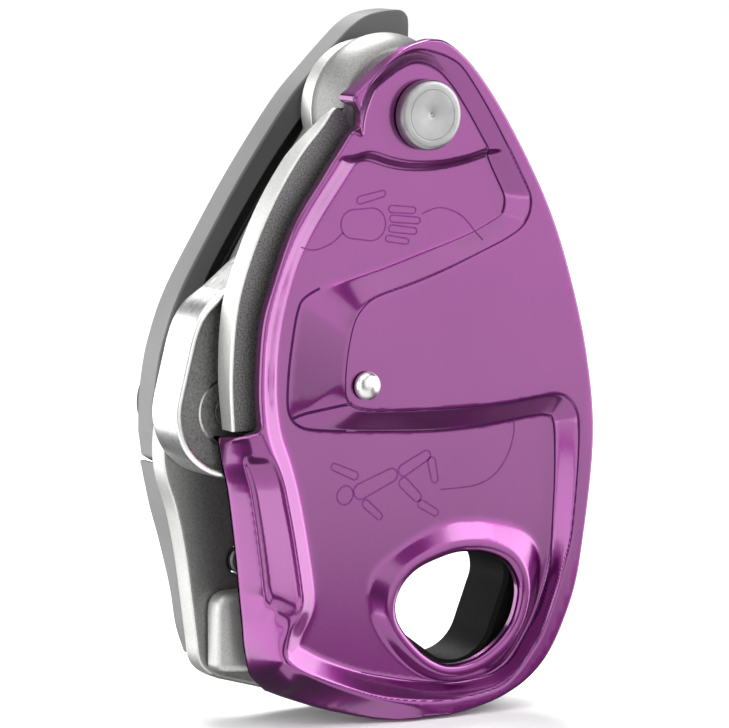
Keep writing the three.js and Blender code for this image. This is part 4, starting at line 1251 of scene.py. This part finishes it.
def knob_shapes():
    """Selector: a round grip with a pointer, and a bar to turn it by."""
    x, z = KNOB
    front = COVER_BACK + GAP
    back = front + 3.8
    grip = wrapped([(x, z, 8.4), (x + 9.2, z + 3.2, 2.2)])
    bar = softened(np.array([(x - 6.6, z + 3.4), (x - 6.6, z - 3.4), (x + 6.2, z - 1.4),
                             (x + 6.2, z + 1.4)]), 1.2)
    bore = circle(KNOB, KNOB_BORE_R, 40)
    disc = together(slab(circle(KNOB, 4.0, 64), front, front + 1.2, holes=[bore], edge=0.05),
                    slab(grip, front + 1.1, back - 1.2, holes=[bore], edge=0.05, rear_edge=0.8,
                         rounds=5),
                    slab(grip, front, front + 1.15, holes=[circle(KNOB, 7.2, 72)], edge=0.3,
                         rear_edge=0.05))
    lever = slab(bar, front + 1.2, back, holes=[circle(KNOB, 3.5, 48)], edge=0.05, rear_edge=0.7,
                 rounds=5)
    return together(disc, lever)


def selector_screw_shape():
    """Screw that holds the selector."""
    back = COVER_BACK + GAP + 3.8
    return lathe(KNOB, [(0.0, 12.8), (2.0, 12.8), (2.0, back - 1.4), (3.1, back - 1.4),
                        (3.1, back - 0.7), (2.8, back - 0.35), (2.4, back - 0.3), (1.3, back - 0.3),
                        (1.25, back - 1.0), (0.0, back - 1.0)], 48)


# ------------------------------------------------------------------ the scene

CAMERA_ANGLES = (31, 7)             # degrees to the left of the front, and above it
CAMERA_TARGET = (-10.0, 5.0, 37.5)
CAMERA_AWAY = 800.0
VIEW_WIDTH = 729 / 6.45             # width that the picture takes in at the target
SENSOR = 36


def camera():
    """Long lens from the front left, slightly above."""
    theta, phi = (math.radians(angle) for angle in CAMERA_ANGLES)
    forward = Vector((math.sin(theta) * math.cos(phi), math.cos(theta) * math.cos(phi),
                      -math.sin(phi)))
    target = Vector(CAMERA_TARGET) * MM
    data = bpy.data.cameras.new("camera")
    data.sensor_width = SENSOR
    data.lens = SENSOR * CAMERA_AWAY / VIEW_WIDTH
    data.clip_start = 0.05
    data.clip_end = 50
    made = bpy.data.objects.new("camera", data)
    made.location = target - forward * CAMERA_AWAY * MM
    made.rotation_mode = "QUATERNION"
    made.rotation_quaternion = forward.to_track_quat("-Z", "Y")
    bpy.context.scene.collection.objects.link(made)
    bpy.context.scene.camera = made


def softbox(name, direction, away, size, radiance):
    """Rectangular light that looks at the object from a direction."""
    data = bpy.data.lights.new(name, "AREA")
    data.shape = "RECTANGLE"
    data.size, data.size_y = size
    data.energy = radiance * math.pi * size[0] * size[1]
    made = bpy.data.objects.new(name, data)
    aim = Vector(direction).normalized()
    made.location = Vector((-0.01, 0.0, 0.04)) + aim * away
    made.rotation_mode = "QUATERNION"
    made.rotation_quaternion = aim.to_track_quat("Z", "Y")
    bpy.context.scene.collection.objects.link(made)


FLOOR_HALF = 60.0                   # metres, so that its edge stays out of sight
FLOOR_LEVEL = -16.65                # just under the plate's lowest point


def studio():
    """Pale floor under soft light from above and from large boxes round the object."""
    mesh = bpy.data.meshes.new("studio_floor")
    half, level = FLOOR_HALF, FLOOR_LEVEL * MM
    mesh.from_pydata([(-half, -half, level), (half, -half, level), (half, half, level),
                      (-half, half, level)], [], [(0, 1, 2, 3)])
    floor = bpy.data.objects.new("studio_floor", mesh)
    material, shader = new_material("studio_floor", Roughness=0.9)
    shader.inputs["Base Color"].default_value = (0.86, 0.86, 0.86, 1)
    shader.inputs["Specular IOR Level"].default_value = 0.1
    mesh.materials.append(material)
    bpy.context.scene.collection.objects.link(floor)
    floor.visible_glossy = False
    floor.visible_shadow = False

    sun = bpy.data.lights.new("overhead", "SUN")
    sun.energy = 3.9
    sun.angle = math.radians(36)
    top = bpy.data.objects.new("overhead", sun)
    top.rotation_mode = "QUATERNION"
    top.rotation_quaternion = Vector((0.20, 0.58, 0.79)).to_track_quat("Z", "Y")
    bpy.context.scene.collection.objects.link(top)

    softbox("key_box", (0.46, -0.87, 0.26), 0.9, (1.52, 0.90), 1.5)
    softbox("right_box", (0.92, -0.36, 0.05), 0.8, (0.5, 0.8), 3.0)
    softbox("top_box", (0.60, -0.58, 0.60), 0.9, (0.45, 0.30), 3.4)
    softbox("panel_box", (-0.75, -0.66, 0.16), 0.9, (0.36, 1.3), 1.8)
    softbox("low_box", (-0.18, -0.60, -0.76), 0.9, (1.5, 1.0), 1.2)
    softbox("ceiling_box", (-0.20, -0.12, 1.0), 1.0, (1.3, 1.3), 1.6)
    softbox("left_box", (-0.92, 0.38, 0.06), 0.8, (1.9, 0.9), 2.4)

    world = bpy.data.worlds.new("studio_air")
    world.use_nodes = True
    world.node_tree.nodes["Background"].inputs["Color"].default_value = (0.97, 0.98, 1.0, 1)
    world.node_tree.nodes["Background"].inputs["Strength"].default_value = 0.13
    bpy.context.scene.world = world
    bpy.context.scene.view_settings.view_transform = "Standard"


def paint(node_object, material):
    """Give a CAD node a procedural material and smooth its round faces."""
    node_object.data.materials.clear()
    node_object.data.materials.append(material)
    node_object.data.shade_smooth()
    node_object.data.set_sharp_from_angle(angle=math.radians(40))


def main():
    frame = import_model()
    nodes = frame["nodes"]

    violet = anodised()
    mark = engraving()
    polished = polished_steel()
    strip = blasted("blasted_steel", 0.08, 0.27, 3600, 0.6)
    dark = blasted("dark_steel", 0.12, 0.24, 2600, 0.5)
    cast = blasted("cast_aluminium", 0.21, 0.31, 3400, 0.35, (0.42, 0.54))
    pale = blasted("pale_casting", 0.42, 0.54, 3400, 0.2, (0.40, 0.5))
    grey = plastic("grey_plastic", (0.15, 0.15, 0.15), (0.18, 0.18, 0.18))
    # Darker copy of the grey plastic for the handle's front face: painted shade.
    shade = plastic("painted_shade_grey", (0.065, 0.065, 0.065), (0.08, 0.08, 0.08))
    black = plastic("black_plastic", (0.012, 0.012, 0.012), (0.02, 0.02, 0.02), (0.38, 0.5))
    spring = plain_metal("spring_steel", (0.45, 0.45, 0.46), (0.6, 0.6, 0.6))
    bronze = plain_metal("bronze", (0.45, 0.27, 0.12), (0.58, 0.36, 0.17))
    bright = plain_metal("bright_steel", (0.62, 0.62, 0.60), (0.76, 0.76, 0.74))

    plate = Plate()
    plate.build(violet)
    marks = together(*[ribbon(plate, line, 0.22) for line in engraved_lines()])
    piece("plate_marks", marks, mark, "side_plate", [])
    # Dark ribbons laid along the plate's tight folds: painted shadow, not geometry.
    creases = together(*[ribbon(plate, line, width, 0.012) for line, width in crease_lines()])
    piece("plate_fold_shadow_ribbons", creases, shaded_violet(), "side_plate", [])
    # Paler copy of the blasted steel: painted light on the left-facing faces of the wear strip and
    # the casting.
    roll = blasted("painted_left_light_steel", 0.55, 0.66, 3400, 0.15, (0.42, 0.5))
    rolled = piece("wear_strip", wear_strip(), strip, "side_plate",
                   ["wear_plate"], 30)
    brighten_left(rolled, roll)
    piece("island_rivet", rivet(), bright, "side_plate", ["wear_plate_rivet"])

    piece("pivot_pin", main_pin(), turned_steel("turned_steel", PIVOT), "frame",
          ["main_pivot_pin"], 30)
    casting = piece("frame_casting", frame_shape(), cast, "frame",
                    ["frame_plate"])
    # The casting's left-facing faces take the paler copy: painted light.
    brighten_left(casting, roll)
    piece("pivot_boss", boss_shape(), cast, "frame", [])
    piece("anvil", anvil_shape(), pale, "frame", ["friction_anvil"])
    piece("anvil_fastener", anvil_screw_shape(), dark, "frame", ["anvil_screw"], 30)
    sleeve = plastic("sleeve_black", (0.002, 0.002, 0.002), (0.004, 0.004, 0.004),
                     (0.55, 0.65), gloss=0.08)
    piece("hole_sleeve", liner_shape(), sleeve, "frame", ["hole_liner"])
    piece("axle_pin", axle_shape(), dark, "frame", ["cam_axle"], 30)
    piece("axle_cap", axle_nut_shape(), bright, "frame", ["axle_nut"], 30)
    piece("back_cover", cover_shape(), black, "frame", ["rear_cover"])
    piece("back_guard", guard_shape(), grey, "frame", ["rear_guard"])
    for centre, where in zip(SCREWS, ("upper", "right", "lower")):
        piece(f"back_screw_{where}", cover_screw_shape(centre), bright, "frame",
              [f"cover_screw_{where}"], 30)
    piece("knob_screw", selector_screw_shape(), bright, "frame",
          ["selector_screw"], 30)

    piece("cam_body", cam_shape(), polished, "cam", ["cam"])
    piece("cam_face", cam_recess_shape(), dark, "cam", [])
    piece("handle_grey", handle_shape(), grey, "handle", ["handle_shell"])
    # The handle's front face takes the darker grey of painted shade.
    piece("handle_front", handle_front_shape(), shade, "handle", [])
    piece("handle_black", core_shape(), black, "handle", ["handle_core"])
    piece("selector", knob_shapes(), black, "selector", ["mode_selector_knob"])

    finishes = {
        "pivot_spacer": pale, "pivot_washer": bright, "cam_bushing": bronze,
        "cam_stop_pin": bright, "cam_spring": spring, "handle_spring": spring,
        "detent_spring": spring, "detent_ball": bright,
    }
    for name, material in finishes.items():
        paint(nodes[name], material)

    camera()
    studio()


main()
